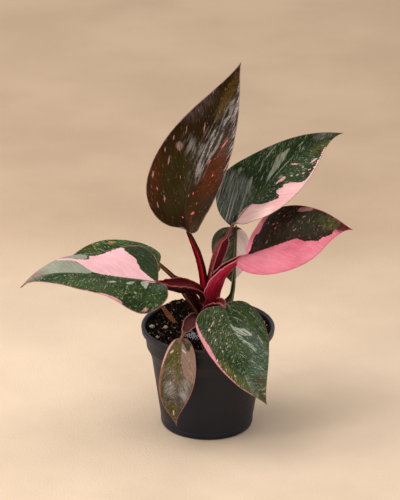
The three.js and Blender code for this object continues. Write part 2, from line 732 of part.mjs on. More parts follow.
const BLADE_COLOURS = {
  crown: COLOURS.darkBlade,
  upper_right: COLOURS.greenBlade,
  right: COLOURS.pinkBlade,
  rear: COLOURS.greenBlade,
  left: COLOURS.greenBlade,
  left_rear: COLOURS.greenBlade,
  front: COLOURS.greenBlade,
  small_front: COLOURS.duskyBlade,
};
const OLD_STALKS = ["rear", "left_rear"];

const stem = stemSolid();
const stemRoom = stemSolid(CLEARANCE);
const sheets = Object.fromEntries(
  Object.entries(BLADES).map(([name, blade]) => [name, bladeSheet(blade)]));
const bladeRooms = Object.entries(sheets).map(([name, sheet]) => {
  const room = thickened(sheet, CLEARANCE);
  const back = bladeCurve(BLADES[name]).getTangent(0).multiplyScalar(-CLEARANCE);
  return room.add(room.translate(back.x, back.y, back.z));
});

const taken = [stemRoom];
const stalks = {};
for (const name of ["right", "crown", "upper_right", "left", "front", "left_rear", "rear", "small_front"]) {
  stalks[name] = carved(stalkSolid(name), [...taken, ...bladeRooms]);
  taken.push(stalkSolid(name, CLEARANCE));
}

const grainRooms = GRAINS.map((grain) => grainSolid(grain, CLEARANCE));
const ground = carved(soilSolid(), [
  stemRoom,
  plugSolid(CLEARANCE),
  scaleSolid(CLEARANCE),
  ...grainRooms,
  ...taken.slice(1),
]);

add("pot", potSolid(), COLOURS.pot);
add("soil", ground, COLOURS.soil);
add("stem", stem, COLOURS.stem);
add("plug_netting", carved(plugSolid(), taken), COLOURS.netting);
add("dry_scale", scaleSolid(), COLOURS.scale);
GRAINS.forEach((grain, i) => add(`perlite_${i + 1}`, grainSolid(grain), COLOURS.grain));
for (const name of Object.keys(BLADES)) {
  add(`blade_${name}`, thickened(sheets[name], 0), BLADE_COLOURS[name]);
  add(`stalk_${name}`, stalks[name], OLD_STALKS.includes(name) ? COLOURS.oldStalk : COLOURS.stalk);
}

export default plant;
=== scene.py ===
"""The looks of a young variegated climbing philodendron with eight leaves, in a round nursery pot.

Everything is measured in millimetres and made in metres, in the frame of the solid model: +Z up, the
origin at the centre of the pot's base, and the plant's front looking along -Y. Colours are percents of
red, green and blue.
"""
import math
from itertools import combinations
from types import SimpleNamespace as Measures

import bpy
import numpy as np
from mathutils import Matrix, Vector


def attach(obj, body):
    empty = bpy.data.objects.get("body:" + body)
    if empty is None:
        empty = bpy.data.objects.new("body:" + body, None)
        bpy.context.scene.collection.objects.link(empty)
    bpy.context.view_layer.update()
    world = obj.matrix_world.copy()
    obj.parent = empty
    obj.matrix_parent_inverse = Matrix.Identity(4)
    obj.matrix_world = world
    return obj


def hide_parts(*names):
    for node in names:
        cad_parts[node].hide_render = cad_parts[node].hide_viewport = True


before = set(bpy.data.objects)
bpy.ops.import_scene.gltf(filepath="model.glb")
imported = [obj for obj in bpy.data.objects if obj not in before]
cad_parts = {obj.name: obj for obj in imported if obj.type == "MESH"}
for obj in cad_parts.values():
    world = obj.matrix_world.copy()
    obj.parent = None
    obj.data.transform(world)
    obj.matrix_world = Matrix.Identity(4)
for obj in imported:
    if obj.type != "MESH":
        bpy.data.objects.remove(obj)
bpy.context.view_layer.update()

MILLIMETRE = 0.001
PERCENT = 0.01
FULL_TURN = 2 * math.pi
TINY = 1e-9

# ---- the solid model's measures

POT = Measures(
    height=96, rim_radius=60, rim_bottom=89.5, rim_lean=0.6, rim_round=1.6, rim_step=1.5, lip_flare=1.6,
    collar_top=56.3, collar_bottom=55, collar_low=76, body_top=50.5, body_high=66.5, foot_radius=38,
    foot_round=3.6, wall=1.1, drain_count=8, drain_radius=3.5, drain_circle=22, pad_radius=12,
    channel_inner=14, channel_outer=30, channel_end=32, channel_rise=2, bead=1,
)

SOIL = Measures(
    level=89.2, wall_gap=0.4, lump=0.7, lump_spacing=11, lump_twist=(1.3, 0.6, 0.7),
    heap=Measures(x=-29.5, y=46, height=10.5, spread=18),
    collar_heap=Measures(x=-4, y=0, height=2.5, spread=22),
    left_bank=Measures(x=-58, y=-6, height=2.6, spread=24),
    right_bank=Measures(x=57, y=6, height=2.6, spread=26),
)

STEM = Measures(
    line=[[-6.8, -2.6, 72], [-6, -3, 89], [-4, -1.4, 104], [-1.2, -0.4, 117]], foot=4.6, top=3.4,
)

PLUG = Measures(x=-7, y=-5, radius=17, wall=1, bottom=78, top=92.5)

SCALE = Measures(
    line=[[-41.5, 34, 98], [-38.5, 28, 96.5], [-35, 22.5, 92], [-28.5, 12, 90.8]], half=2.6, deep=1,
    wrap=80, floor=-0.3, blunt=0.15, face=(0, 80),
)

# White grains pressed into the soil: x, y, radius and turn about Z in degrees.
GRAINS = [
    (-50.5, 1, 2.4, 10), (-38, 2.5, 2.2, 50), (-45, -20, 1.7, 80), (50, 15, 1.9, 25), (50.5, -6, 1.6, 65),
]
GRAIN = Measures(
    levels=3, squash=0.72, sink=0.35, skew=0.18, bumps=(2.3, 1.7, 2.9), pit_level=0.97, pit=0.08,
    pit_size=0.8, pit_octaves=3, pit_seed=39,
)

# The measures of one half of a blade, in the order that half_blade takes them.
HALF_MEASURES = (
    "curl",  # how much of the fold it loses towards the margin, in degrees
    "wave",  # how high the waves of its margin are
    "phase",  # where they start, in parts of a wave
    "lobe",  # how far its lobe reaches back past the stalk
    "lobe_side",  # how far out the lobe reaches furthest back
    "widest_at",  # how far along it is widest
    "half",  # how wide it is there
    "shoulder",  # how full its outline stays beyond that place
    "drip",  # how long the drip tip is
    "drip_half",  # how wide the drip tip starts
)


def half_blade(*measures):
    return dict(zip(HALF_MEASURES, measures))


# Every blade: the midrib's four Bezier points from the stalk to the tip, the way that its upper face
# looks at both ends (degrees from -Y towards +X, degrees above the horizon), the fold that its halves
# rise by from the midrib in degrees, the valley's width that rounds the fold, how many waves its margins
# hold, and its two halves.
BLADES = {}
BLADES["crown"] = dict(
    midrib=[[-18.5, -5, 186], [-27, 2, 236.5], [12.5, 17.5, 279.5], [25.5, 20.5, 336.5]],
    faces=[[-47, 15], [-5, 14]], fold=24, valley=16, waves=1.6,
    left=half_blade(13.5, 1.4, -0.08, -5, 11, 36.5, 41, 53, 8.5, 2.1),
    right=half_blade(2, 0.5, 0.19, -0.5, 5, 40.5, 39, 48, 22, 1.6),
)
BLADES["upper_right"] = dict(
    midrib=[[20.5, 4.5, 190], [54, 20, 221], [80.5, 21, 261], [118.5, 45.5, 263.5]],
    faces=[[-32, 58], [6, 30]], fold=27, valley=9, waves=1.5,
    left=half_blade(9, 2.7, 0.93, 2, 6.5, 27.5, 36.5, 34.5, 12, 0.6),
    right=half_blade(6, 1.2, 0.19, -3.5, 2.5, 46.5, 33, 48, 31, 0.3),
)
BLADES["right"] = dict(
    midrib=[[32.5, -9.5, 166], [62.5, -20.5, 178], [93.5, -19, 199.5], [125.5, -21.5, 197.5]],
    faces=[[25, 74], [25, 45]], fold=21, valley=8, waves=1.3,
    left=half_blade(19, 0.7, 0.13, -0.5, 12.5, 27, 39, 38, 9.5, 1.7),
    right=half_blade(31, -0.9, 0.12, 3, 12, 28.5, 37, 43, 17, 1),
)
BLADES["rear"] = dict(
    midrib=[[24, 33.5, 176], [23, 50.5, 158], [20.5, 47.5, 131.5], [22.5, 61.5, 109.5]],
    faces=[[169, 13], [180, 10]], fold=-15, valley=5, waves=1,
    left=half_blade(16, 0.3, 0.03, 2.5, 8, 20, 21.5, 25.5, 8.5, 0.9),
    right=half_blade(40, -0.1, 0.12, 4.5, 8, 19, 20.5, 23, 11.5, 0.8),
)
BLADES["left"] = dict(
    midrib=[[-45, -25, 146.5], [-96, -31.5, 152], [-141, -55.5, 176], [-165, -41, 146.5]],
    faces=[[-10, 69], [-22, 85]], fold=14, valley=9, waves=1.7,
    left=half_blade(32, -3.7, 0.03, 8, 15.5, 20.5, 39, 41, 7, 1.6),
    right=half_blade(13, 3.6, 0.04, 1, 16, 17.5, 38.5, 37.5, 7.5, 1.5),
)
BLADES["left_rear"] = dict(
    midrib=[[-46, 5.5, 152.5], [-77.5, 4.5, 156.5], [-109, 10.5, 149.5], [-140.5, 12, 139.5]],
    faces=[[0, 83], [-14, 43]], fold=11, valley=7, waves=1.4,
    left=half_blade(36, 0.2, 0.1, 2.5, 10.5, 27.5, 31.5, 34.5, 14, 1.2),
    right=half_blade(30, 0.9, 0.13, 3, 10, 27.5, 32, 34.5, 15, 1.1),
)
BLADES["front"] = dict(
    midrib=[[14, -34.5, 128], [22, -52, 101], [31, -77, 82], [52.5, -81, 54.5]],
    faces=[[37, 46], [26, 11]], fold=10, valley=9, waves=1.5,
    left=half_blade(22, 0.5, 0.9, 3.5, 13.5, 23, 36, 34, 8.5, 1.6),
    right=half_blade(7, -0.6, 0.17, 1, 13.5, 17.5, 35.5, 32, 15.5, 0.9),
)
BLADES["small_front"] = dict(
    midrib=[[-23, -56, 107], [-22.5, -61.5, 78], [-33, -70.5, 52.5], [-26.5, -64, 24.5]],
    faces=[[-14, 44], [-8, 5]], fold=18, valley=8, waves=1.3,
    left=half_blade(10, 0.6, 0.14, -0.5, 3, 32.5, 16.5, 26.5, 15, 0.6),
    right=half_blade(12, -0.1, 0.07, -0.5, 3, 35.5, 16, 28, 15, 0.6),
)

# Every leaf stalk: three Bezier points from the stem outwards (the fourth is the blade's base), the way
# that its groove looks at both ends, and its section at stations along it: the share of the length, the
# half width, the depth, the angle that it wraps up to on each side, and the level of the groove's floor.
STALKS = {}
STALKS["crown"] = dict(
    line=[[-1, 0.5, 121], [-7, 4, 132.5], [-2, -1, 150.5]], faces=[[-58, 12], [-45, 20]],
    stations=[(0, 5.4, 5, 100, -2), (0.35, 4.2, 4, 104, -1.5), (0.68, 3.6, 3.4, 110, -0.5),
        (0.84, 2.7, 2.6, 130, 0.9), (1, 1.9, 2, 145, 0.9)],
)
STALKS["upper_right"] = dict(
    line=[[0, 1.5, 121], [5.5, 5, 155], [6.5, 4, 158]], faces=[[45, 15], [40, 25]],
    stations=[(0, 5, 4.6, 104, -2), (0.3, 5.2, 4.6, 124, -2.6), (0.62, 6, 5, 130, -3.2),
        (0.76, 4.8, 4, 118, -1.8), (0.83, 1.8, 1.9, 140, 0.9), (1, 1.5, 1.6, 145, 0.9)],
)
STALKS["right"] = dict(
    line=[[1.5, -1, 108.5], [-2, -3.5, 134], [8, -8, 155]], faces=[[-98, 15], [-85, 62]],
    stations=[(0, 7, 7, 118, -2.4), (0.2, 7.6, 9.4, 124, -4.4), (0.42, 6.9, 8.8, 124, -4.2),
        (0.66, 6.4, 6.4, 118, -3), (0.84, 4.6, 4.2, 112, -1.6), (1, 1.9, 2, 145, 0.9)],
)
STALKS["rear"] = dict(
    line=[[-1.5, 0.5, 110], [24.5, 14, 117.5], [22, 24, 93.5]], faces=[[-90, 45], [0, 20]],
    stations=[(0, 5.4, 4.4, 94, -2), (0.22, 5.4, 4.2, 90, -2), (0.36, 2.1, 2, 124, 0.3),
        (0.6, 1.5, 1.5, 140, 0.7), (1, 1.3, 1.3, 145, 0.6)],
)
STALKS["left"] = dict(
    line=[[-2, -3, 118], [-2, -9, 144], [-29.5, -19, 139]], faces=[[0, 70], [-10, 76]],
    stations=[(0, 7, 5.6, 96, -3), (0.3, 6.2, 5.2, 104, -3.4), (0.62, 8, 7.4, 114, -4.8),
        (0.84, 6, 5.2, 112, -2.8), (0.93, 3, 2.8, 122, -0.3), (1, 1.8, 1.9, 140, 0.9)],
)
STALKS["left_rear"] = dict(
    line=[[-4, -1.5, 99], [-9.5, 0.5, 123], [-37, 4, 145.5]], faces=[[60, 40], [20, 60]],
    stations=[(0, 5.6, 4.6, 100, -2), (0.36, 6.8, 5, 100, -2.6), (0.62, 5, 4, 104, -1.6),
        (0.74, 2.1, 2.1, 140, 0.9), (1, 1.8, 1.8, 145, 0.8)],
)
STALKS["front"] = dict(
    line=[[-2.5, -2, 113.5], [2, -12, 124], [11, -24, 132]], faces=[[0, 62], [10, 62]],
    stations=[(0, 6.6, 5, 94, -3), (0.45, 6.4, 4.8, 94, -3.2), (0.76, 5, 3.8, 94, -2),
        (1, 1.7, 1.8, 140, 0.9)],
)
STALKS["small_front"] = dict(
    line=[[-5, -4, 101], [-8, -16, 116], [-15.5, -36, 116]], faces=[[20, 60], [10, 60]],
    stations=[(0, 5, 4.2, 96, -2), (0.3, 6.2, 4.6, 92, -2.8), (0.62, 6.6, 4.6, 90, -3),
        (0.82, 4.2, 3.2, 96, -1.4), (0.92, 1.8, 1.9, 130, 0.5), (1, 1.3, 1.4, 140, 0.6)],
)

BLADE = Measures(
    midrib_thick=0.9, margin_thick=0.46, notch=0.35, notch_reach=0.9, notch_out=0.1,
    quarter_round=0.5523, outline_steps=200, vein_lead=1.5, wave_back=-0.1, valley_opens=(-0.02, 0.15),
    valley_closes=(0.7, 1), valley_least=0.01, rows=112, columns=26,
    crowding=0.075,  # how much the columns crowd towards the midrib and the margin
    half_shift=90,  # keeps the patterns of a blade's two halves apart
)

# ---- curves and frames


def unit(vectors):
    return vectors / np.maximum(np.linalg.norm(vectors, axis=-1, keepdims=True), 1e-12)


def direction(azimuth, elevation):
    """The way that looks at an azimuth from -Y towards +X, and at an elevation above the horizon."""
    turn, rise = math.radians(azimuth), math.radians(elevation)
    level = math.cos(rise)
    return np.array([math.sin(turn) * level, -math.cos(turn) * level, math.sin(rise)])


def round_turns(count):
    """Even angles all the way round, in radians."""
    return np.linspace(0, FULL_TURN, count, endpoint=False)


def bezier(points, t):
    a, b, c, d = (np.asarray(point, float) for point in points)
    t = np.asarray(t, float)[..., None]
    rest = 1 - t
    return rest**3 * a + 3 * rest**2 * t * b + 3 * rest * t**2 * c + t**3 * d


def eased(value, low, high):
    """0 below low, 1 above high, and a smooth rise between them."""
    share = np.clip((np.asarray(value, float) - low) / (high - low), 0, 1)
    return share * share * (3 - 2 * share)


def mixed(low, high, share):
    return low + (high - low) * share


def reaches(line):
    """How far along a line of points each of them lies."""
    return np.concatenate([[0], np.cumsum(np.linalg.norm(np.diff(line, axis=0), axis=1))])


class Bend:
    """A cubic Bezier curve in space, read by its share of length. Beyond its ends it runs straight on."""

    STEPS = 400

    def __init__(self, points):
        self.points = [np.asarray(point, float) for point in points]
        self.times = np.linspace(0, 1, self.STEPS + 1)
        self.reach = reaches(bezier(self.points, self.times))
        self.length = self.reach[-1]

    def time(self, share):
        return np.interp(np.clip(share, 0, 1) * self.length, self.reach, self.times)

    def along(self, t):
        a, b, c, d = self.points
        t = np.asarray(t, float)[..., None]
        rest = 1 - t
        return unit(rest**2 * (b - a) + 2 * rest * t * (c - b) + t**2 * (d - c))

    def frames(self, share, faces):
        """The places, the upward ways and the leftward ways at shares of the length."""
        share = np.asarray(share, float)
        t = self.time(share)
        along = self.along(t)
        beyond = (share - np.clip(share, 0, 1)) * self.length
        place = bezier(self.points, t) + along * beyond[..., None]
        up = mixed(direction(*faces[0]), direction(*faces[1]), t[..., None])
        up = unit(up - along * np.sum(up * along, axis=-1, keepdims=True))
        return place, up, np.cross(up, along)

    def sweep(self, faces, share, corners):
        """Places in space of flat sections that stand across the curve at shares of its length."""
        place, up, left = self.frames(share, faces)
        return place[:, None] + left[:, None] * corners[..., :1] + up[:, None] * corners[..., 1:]


def ripples(places, size, seed, octaves=2):
    """Smooth seeded unevenness between about -1 and 1, with bumps of about the given size."""
    draw = np.random.default_rng(seed)
    total, weight = np.zeros(len(places)), 0
    for octave in range(octaves):
        strength = 0.5**octave
        ways = unit(draw.normal(size=(5, places.shape[1])))
        pace = FULL_TURN * 2**octave / size * draw.uniform(0.7, 1.35, 5)
        shift = draw.uniform(0, FULL_TURN, 5)
        total += strength * np.sin(places @ (ways * pace[:, None]).T + shift).mean(axis=1) * 1.6
        weight += strength
    return total / weight


# ---- meshes


def make_mesh(name, points, faces):
    """A mesh from points in millimetres."""
    mesh = bpy.data.meshes.new(name)
    mesh.from_pydata((np.asarray(points) * MILLIMETRE).tolist(), [], faces)
    return mesh


def add_to_scene(name, data):
    """A new object that holds a mesh, a lens or a lamp."""
    thing = bpy.data.objects.new(name, data)
    bpy.context.scene.collection.objects.link(thing)
    return thing


def make_piece(name, points, faces, material, slot, replaces=(), **fields):
    """A piece on the root body. Points are in millimetres, and fields are values at the points."""
    mesh = make_mesh(name, points, faces)
    mesh.polygons.foreach_set("use_smooth", [True] * len(mesh.polygons))
    for field, values in fields.items():
        values = np.asarray(values, np.float32)
        kind, key = ("FLOAT_VECTOR", "vector") if values.ndim == 2 else ("FLOAT", "value")
        mesh.attributes.new(field, kind, "POINT").data.foreach_set(key, values.ravel())
    mesh.materials.append(material)
    piece = add_to_scene(name, mesh)
    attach(piece, "root")
    if replaces:
        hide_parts(*replaces)
    return piece


def point_normals(points, faces):
    """Normals at the points of a sheet of triangles and quads."""
    triangles = np.array([(face[0], face[i], face[i + 1]) for face in faces for i in range(1, len(face) - 1)])
    corners = points[triangles]
    flat = np.cross(corners[:, 1] - corners[:, 0], corners[:, 2] - corners[:, 0])
    normals = np.zeros_like(points)
    for corner in range(3):
        np.add.at(normals, triangles[:, corner], flat)
    return unit(normals)


def shifted(faces, start):
    """Faces whose points start further on in a mesh."""
    return [tuple(start + i for i in face) for face in faces]


def grid_faces(rows, columns, closed=False):
    """Quads of a grid of points: rows that follow each other, each one a line or a closed ring."""
    faces = []
    for row in range(rows - 1):
        for column in range(columns if closed else columns - 1):
            beside = (column + 1) % columns
            low, high = row * columns, (row + 1) * columns
            faces.append((low + column, low + beside, high + beside, high + column))
    return faces


def tube_faces(rings, around):
    """Faces of a tube of rings, with a cap at both ends."""
    last = (rings - 1) * around
    return [
        *grid_faces(rings, around, closed=True),
        tuple(reversed(range(around))),
        tuple(range(last, last + around)),
    ]


# ---- blades


def half_outline(half, length, rows):
    """One half of a blade's outline in the flat: evenly spaced points, along the midrib and out."""
    lobe, side, widest, broad = half["lobe"], half["lobe_side"], half["widest_at"], half["half"]
    bow = BLADE.quarter_round
    stops = (0, 0), (-lobe, side), (widest, broad), (length, 0)
    handles = (
        ((-lobe * BLADE.notch_reach, side * BLADE.notch_out), (-lobe, side * BLADE.notch)),
        ((-lobe, side + bow * (broad - side)), (widest - bow * (widest + lobe), broad)),
        ((widest + half["shoulder"], broad), (length - half["drip"], half["drip_half"])),
    )
    bends = [(start, *pair, end) for start, pair, end in zip(stops, handles, stops[1:])]
    fine = np.linspace(0, 1, BLADE.outline_steps)
    line = np.concatenate([bezier(bend, fine)[(0 if i == 0 else 1):] for i, bend in enumerate(bends)])
    reach = reaches(line)
    places = np.linspace(0, reach[-1], rows + 1)
    return np.stack([np.interp(places, reach, line[:, 0]), np.interp(places, reach, line[:, 1])], axis=1)


class Blade:
    """A bent leaf blade. Flat places on it are (along the midrib, out from it), left of it positive."""

    def __init__(self, name):
        self.name = name
        self.shape = BLADES[name]
        self.curve = Bend(self.shape["midrib"])
        self.length = self.curve.length
        self.outlines = {
            1: half_outline(self.shape["left"], self.length, BLADE.rows),
            -1: half_outline(self.shape["right"], self.length, BLADE.rows),
        }

    def bend(self, along, out):
        """The places in space of flat places."""
        side = np.where(out < 0, -1.0, 1.0)

        def of(key):
            return np.where(out < 0, self.shape["right"][key], self.shape["left"][key])

        share = along / self.length
        place, up, left = self.curve.frames(share, self.shape["faces"])
        fold, curl = math.radians(self.shape["fold"]), np.radians(of("curl"))
        reach = np.abs(out) / of("half")
        across = of("half") * (math.sin(fold) - np.sin(fold - curl * reach)) / curl
        lift = of("half") * (np.cos(fold - curl * reach) - math.cos(fold)) / curl
        turns = self.shape["waves"] * np.clip(share, BLADE.wave_back, 1) + of("phase")
        lift = lift + of("wave") * np.sin(FULL_TURN * turns) * reach**2
        valley = self.shape["valley"] * eased(share, *BLADE.valley_opens)
        valley = valley * (1 - eased(share, *BLADE.valley_closes)) + BLADE.valley_least
        fill = (valley**2 + out**2) / (2 * valley) - np.abs(out)
        lift = lift + math.tan(fold) * np.where(np.abs(out) < valley, fill, 0)
        return place + left * (side * across)[:, None] + up * lift[:, None]

    def sheet(self):
        """The whole blade in the flat: its places, their shares of the way out, its faces and its rim."""
        rows, columns = BLADE.rows, BLADE.columns
        even = np.linspace(0, 1, columns + 1)
        shares = even - BLADE.crowding * np.sin(FULL_TURN * even)
        places, outward = [(0.0, 0.0)], [0.0]
        for row in range(1, rows):
            root = self.length * (row / rows) ** BLADE.vein_lead
            for column in range(-columns, columns + 1):
                side = -1 if column < 0 else 1
                share = shares[abs(column)]
                rim = self.outlines[side][row]
                places.append((root + (rim[0] - root) * share, side * rim[1] * share))
                outward.append(share)
        places.append((self.length, 0.0))
        outward.append(0.0)
        across = 2 * columns + 1
        tip = len(places) - 1
        last = 1 + (rows - 2) * across
        faces = [(0, 1 + i, 2 + i) for i in range(across - 1)]
        faces += [(a, d, c, b) for a, b, c, d in shifted(grid_faces(rows - 1, across), 1)]
        faces += [(last + i, tip, last + i + 1) for i in range(across - 1)]
        right = [1 + row * across for row in range(rows - 1)]
        left = [row + across - 1 for row in right]
        rim = [0, *right, tip, *reversed(left)]
        return np.array(places), np.array(outward), faces, rim

    def vein_places(self, flat):
        """Where flat places lie by the side veins: where their vein leaves the midrib, and how far out."""
        out = np.abs(flat[:, 1])
        lead = np.zeros(len(flat))
        for side, key in ((1, "left"), (-1, "right")):
            slope, bow = VEINS[self.name][key]
            here = (flat[:, 1] >= 0) == (side > 0)
            broad = self.shape[key]["half"]
            lead = np.where(here, slope * out + bow * out**2 / broad, lead)
        side = np.where(flat[:, 1] < 0, -1.0, 1.0)
        return np.stack([flat[:, 0] - lead, out, side * BLADE.half_shift], axis=1)


# ---- leaf patterns

OVAL_POINTS = 14


def oval(along, out, long, broad, lean=0):
    """The outline of an oval patch: its middle, its size and its lean from the midrib in degrees."""
    turn = math.radians(lean)
    outline = []
    for i in range(OVAL_POINTS):
        angle = FULL_TURN * i / OVAL_POINTS
        x, y = long / 2 * math.cos(angle), broad / 2 * math.sin(angle)
        outline.append((
            along + x * math.cos(turn) - y * math.sin(turn),
            out + x * math.sin(turn) + y * math.cos(turn),
        ))
    return outline


# How the side veins leave the midrib, on each half: their forward lean, and how much they bow.
VEINS = {
    "crown": {"left": (0.9, 0.5), "right": (0.7, 0.5)},
    "upper_right": {"left": (1.5, 0.5), "right": (0.5, 0.4)},
    "right": {"left": (0.5, 0.5), "right": (0.4, 0.5)},
    "rear": {"left": (0.7, 0.5), "right": (0.7, 0.5)},
    "left": {"left": (0.05, 0.4), "right": (0.5, 0.5)},
    "left_rear": {"left": (0.5, 0.5), "right": (0.5, 0.5)},
    "front": {"left": (0.5, 0.6), "right": (0.6, 0.6)},
    "small_front": {"left": (0.7, 0.5), "right": (0.7, 0.5)},
}

# The outlines of every blade's patches in the flat: along the midrib, out from it.
PATCHES = {}
PATCHES["crown"] = dict(
    olive=[oval(46, 15, 62, 30, 4), oval(131, 1, 46, 12, 0)],
    rust=[[(36, -8), (55, -10), (84, -12), (92, -20), (84, -30), (62, -36), (44, -33), (36, -22)]],
    russet=[oval(40, 35, 46, 13, 8), oval(14, -7, 15, 9, -10)],
    # The smoke outlines hold grey marbling that is partly a painted reflection of soft light at the upper
    # left.
    smoke=[oval(112, 20, 40, 12, -18), oval(95, -21, 26, 9, 10)],
    # The sheen outlines hold a painted highlight: streaks of gloss beside the midrib.
    sheen=[oval(88, -5, 84, 19, -3), oval(73, 12, 20, 7, 40)], blob=[oval(71, 22.3, 7.5, 6, 20)],
    gold=[oval(129, 0.5, 48, 9, 0)],
    # A painted highlight: a streak of gloss by the right margin.
    shine=[[(66, -33), (80, -28.6), (100, -21), (120, -11.6), (142, -4), (142, -8), (120, -18),
        (100, -27), (80, -34), (66, -37)]],
)
PATCHES["upper_right"] = dict(
    frost=[[(-3, 1), (30, 3), (40, 16), (34, 34), (14, 36), (-4, 26)]],
    lens=[
        [(47, 4), (58, 5), (67, 6.5), (80, 10), (83.5, 13), (78, 13.4), (70, 14.4), (63, 10.5), (53, 7)],
        oval(36, 13.5, 17, 2.4, 26), oval(40, 28.5, 5, 2.6, 10),
    ],
    pink=[[(-8, -0.8), (1, -1), (10, 1), (17, 2), (24, 0), (28, -4), (30, -10), (33, -13), (40, -19),
        (47, -23), (48.5, -14), (50, -12), (55, -15), (58, -13), (63, -17), (68, -24), (73, -26.6),
        (80, -24.2), (87, -20.6), (95, -15.6), (102, -10.6), (108, -6.6), (112, -9), (98, -26),
        (88, -34), (66, -46), (20, -44), (-10, -20)]],
    cream=[[(0, -5), (8, -2), (16, -1.5), (22, -3), (26, -8), (30, -15), (38, -22), (34, -30), (20, -36),
        (2, -32), (-8, -16)]],
    islet=[[(53, -4), (58, -4.2), (63.5, -5), (63, -8.6), (58, -8.4), (57.5, -6.4), (53, -6.2)]],
    olive=[oval(106, -5, 26, 8, -4)], mauve=[oval(115, 5, 24, 7, -8)],
)
PATCHES["right"] = dict(
    dark=[[(1, 0.4), (2.5, 3), (5, 8), (6, 14), (8, 20), (10, 22), (13, 20.5), (15, 22), (17, 25),
        (20, 30), (24, 34), (32, 36.5), (40, 37.5), (46, 44), (84, 40), (106, 14), (104, -6), (93, -5),
        (89, -0.6), (83, -0.6), (82.6, -4), (81, -5.5), (78, -7.5), (72, -8), (70, -11), (68, -11.5),
        (64, -9), (58, -8), (53, -4), (51, 0.2), (30, 0.3)]],
    purple=[oval(19, 14, 30, 16, 50), oval(44, 20, 30, 10, 40)], olive=[oval(66, 10, 44, 16, -10)],
    lens=[[(56, 25), (59, 28), (66, 26), (71, 22), (66, 21.6), (60, 23.6)]],
    # The lobe outline holds painted light: brighter pink on the left lobe, lifting the shadow that the leaf
    # above casts there.
    blush=[oval(24, -20, 44, 26, -20), oval(74, -22, 40, 10, 14)], lobe=[oval(4, 22, 26, 44, -20)],
    moss=[oval(84, 6, 24, 15, -14)], tip=[oval(106, -2, 18, 11, 0)], ember=[oval(97, 0, 22, 14, 0)],
)
PATCHES["rear"] = dict(
    pink=[[(-4, -0.6), (30, -0.8), (62, -1), (80, -2), (70, -30), (20, -34), (-10, -20)]],
    frost=[oval(30, 11, 56, 18, 8)],
)
PATCHES["left"] = dict(
    pink=[[(-0.5, -0.5), (5, -2), (8.5, -5), (12.5, -10), (15.5, -14), (17, -18), (19, -24), (24, -29),
        (27, -33), (29, -38), (38, -34), (45, -31), (55, -27), (60, -25), (59, -21.5), (62, -19),
        (78, -19.4), (92, -17.4), (90, -16.4), (75, -16.4), (70, -14), (67, -11), (62, -7), (59, -1.6),
        (34, -0.8)]],
    ash=[[(58, -0.8), (62, -7), (67, -11), (70, -14), (75, -16.4), (78, -19.4), (62, -19.4), (60, -26),
        (72, -27), (84, -22), (100, -14), (118, -5), (124, 0.4), (100, 0.3), (80, 0)]],
    frost=[
        [(8, 1.4), (12, 1.2), (16.5, 3), (15.5, 8), (12.5, 13.5), (10.4, 9)],
        [(21, 3.4), (25, 4.6), (31, 7.6), (30, 9.4), (26, 9), (22.4, 6)],
        oval(43, 9.2, 9, 2.8, 16), oval(23, 19.5, 3, 2.4, 40),
    ],
    haze=[oval(0, 9, 14, 9, 30)], coral=[oval(14.5, 35, 6, 4, 10)],
    fringe=[[(37, 33.4), (46, 31.8), (54, 30.6), (66, 30), (66, 42), (37, 46)]],
    inlet=[[(-4, -0.4), (16, -0.6), (13, 1.2), (6, 2.2), (0, 1.8), (-4, 0.8)]],
    dusk=[oval(117, -2, 34, 16, 0)], lime=[oval(64, 20, 60, 16, -8)],
    night=[[(-6, -2), (9, -2), (14, -12), (19, -25), (28, -38), (10, -46), (-10, -20)]],
)
PATCHES["left_rear"] = dict(
    orange=[oval(42.5, -25, 7, 5, 20)], lime=[oval(60, 10, 60, 30, 0)],
)
PATCHES["front"] = dict(
    salt=[oval(28, -14, 56, 22, -8)],
    lens=[[(14.4, 0.4), (19, 3), (21, 7), (24, 14.6), (31, 20.6), (29.4, 12), (27, 7), (23.6, 2)]],
    crack=[[(25, 4), (31, 5.4), (36, 8.4), (41, 13), (46, 16), (47.4, 19), (43, 17.4), (39, 14),
        (33, 9.4), (27, 6.6)]],
    fringe=[[(10, -34), (16, -33.8), (20, -33.2), (27, -30.8), (35, -27.6), (41, -26.6), (45, -25.2),
        (50, -24.2), (54, -22.4), (60, -19.2), (68, -14.4), (76, -9.4), (84, -4.6), (90, -12), (60, -34),
        (40, -44), (10, -44)]],
    olive=[[(47, -24), (54, -22), (62, -17.6), (70, -12.8), (80, -6.8), (82, -3.4), (72, -6),
        (62, -10.4), (54, -15.4), (48, -19.6)]],
    ember=[oval(82, 5, 30, 8, -20), oval(92, 0, 14, 8, 0)], smoke=[oval(77, -3, 24, 5, -3)],
    frost=[oval(40, 18, 50, 20, 20), oval(68, 9, 34, 16, -14)],
)
PATCHES["small_front"] = dict(
    mauve=[[(2.5, 0.3), (4, 1.6), (9.5, 4.4), (11.5, 6.4), (10, 8.6), (4, 9.6), (4, 22), (42, 22),
        (38, 15), (37, 11), (34, 9), (33, 6), (28, 4.4), (22, 1.2), (15, 0.5)]],
    olive=[[(2, -0.4), (26, -0.4), (31, 2), (38, 7), (34, 1), (27, -6), (27, -22), (0, -22)],
        oval(66, -3, 16, 10, 0)],
    night=[oval(5, 5, 12, 9, 40), oval(62, 6, 22, 9, 14), oval(47, -13, 20, 4, 4)],
    dusk=[oval(50, 8, 34, 16, -14)],
    ember=[
        [(28, -12.5), (38, -14), (50, -13.4), (58, -11), (58, -22), (28, -22)],
        [(2, 9.5), (9, 10.5), (12, 13), (12, 22), (0, 22)],
    ],
    smoke=[oval(47, -6, 16, 10, 20), oval(51, 7, 20, 8, -16), oval(40, 9, 8, 5, 30)],
    rim=[[(0, -4), (5, -7.8), (13, -11.3), (22.5, -13.7), (31, -15.5), (31, -24), (0, -24)]],
    glint=[[(9.4, 0.6), (11, 0.8), (13.6, 5), (12.4, 5.4)]],
)

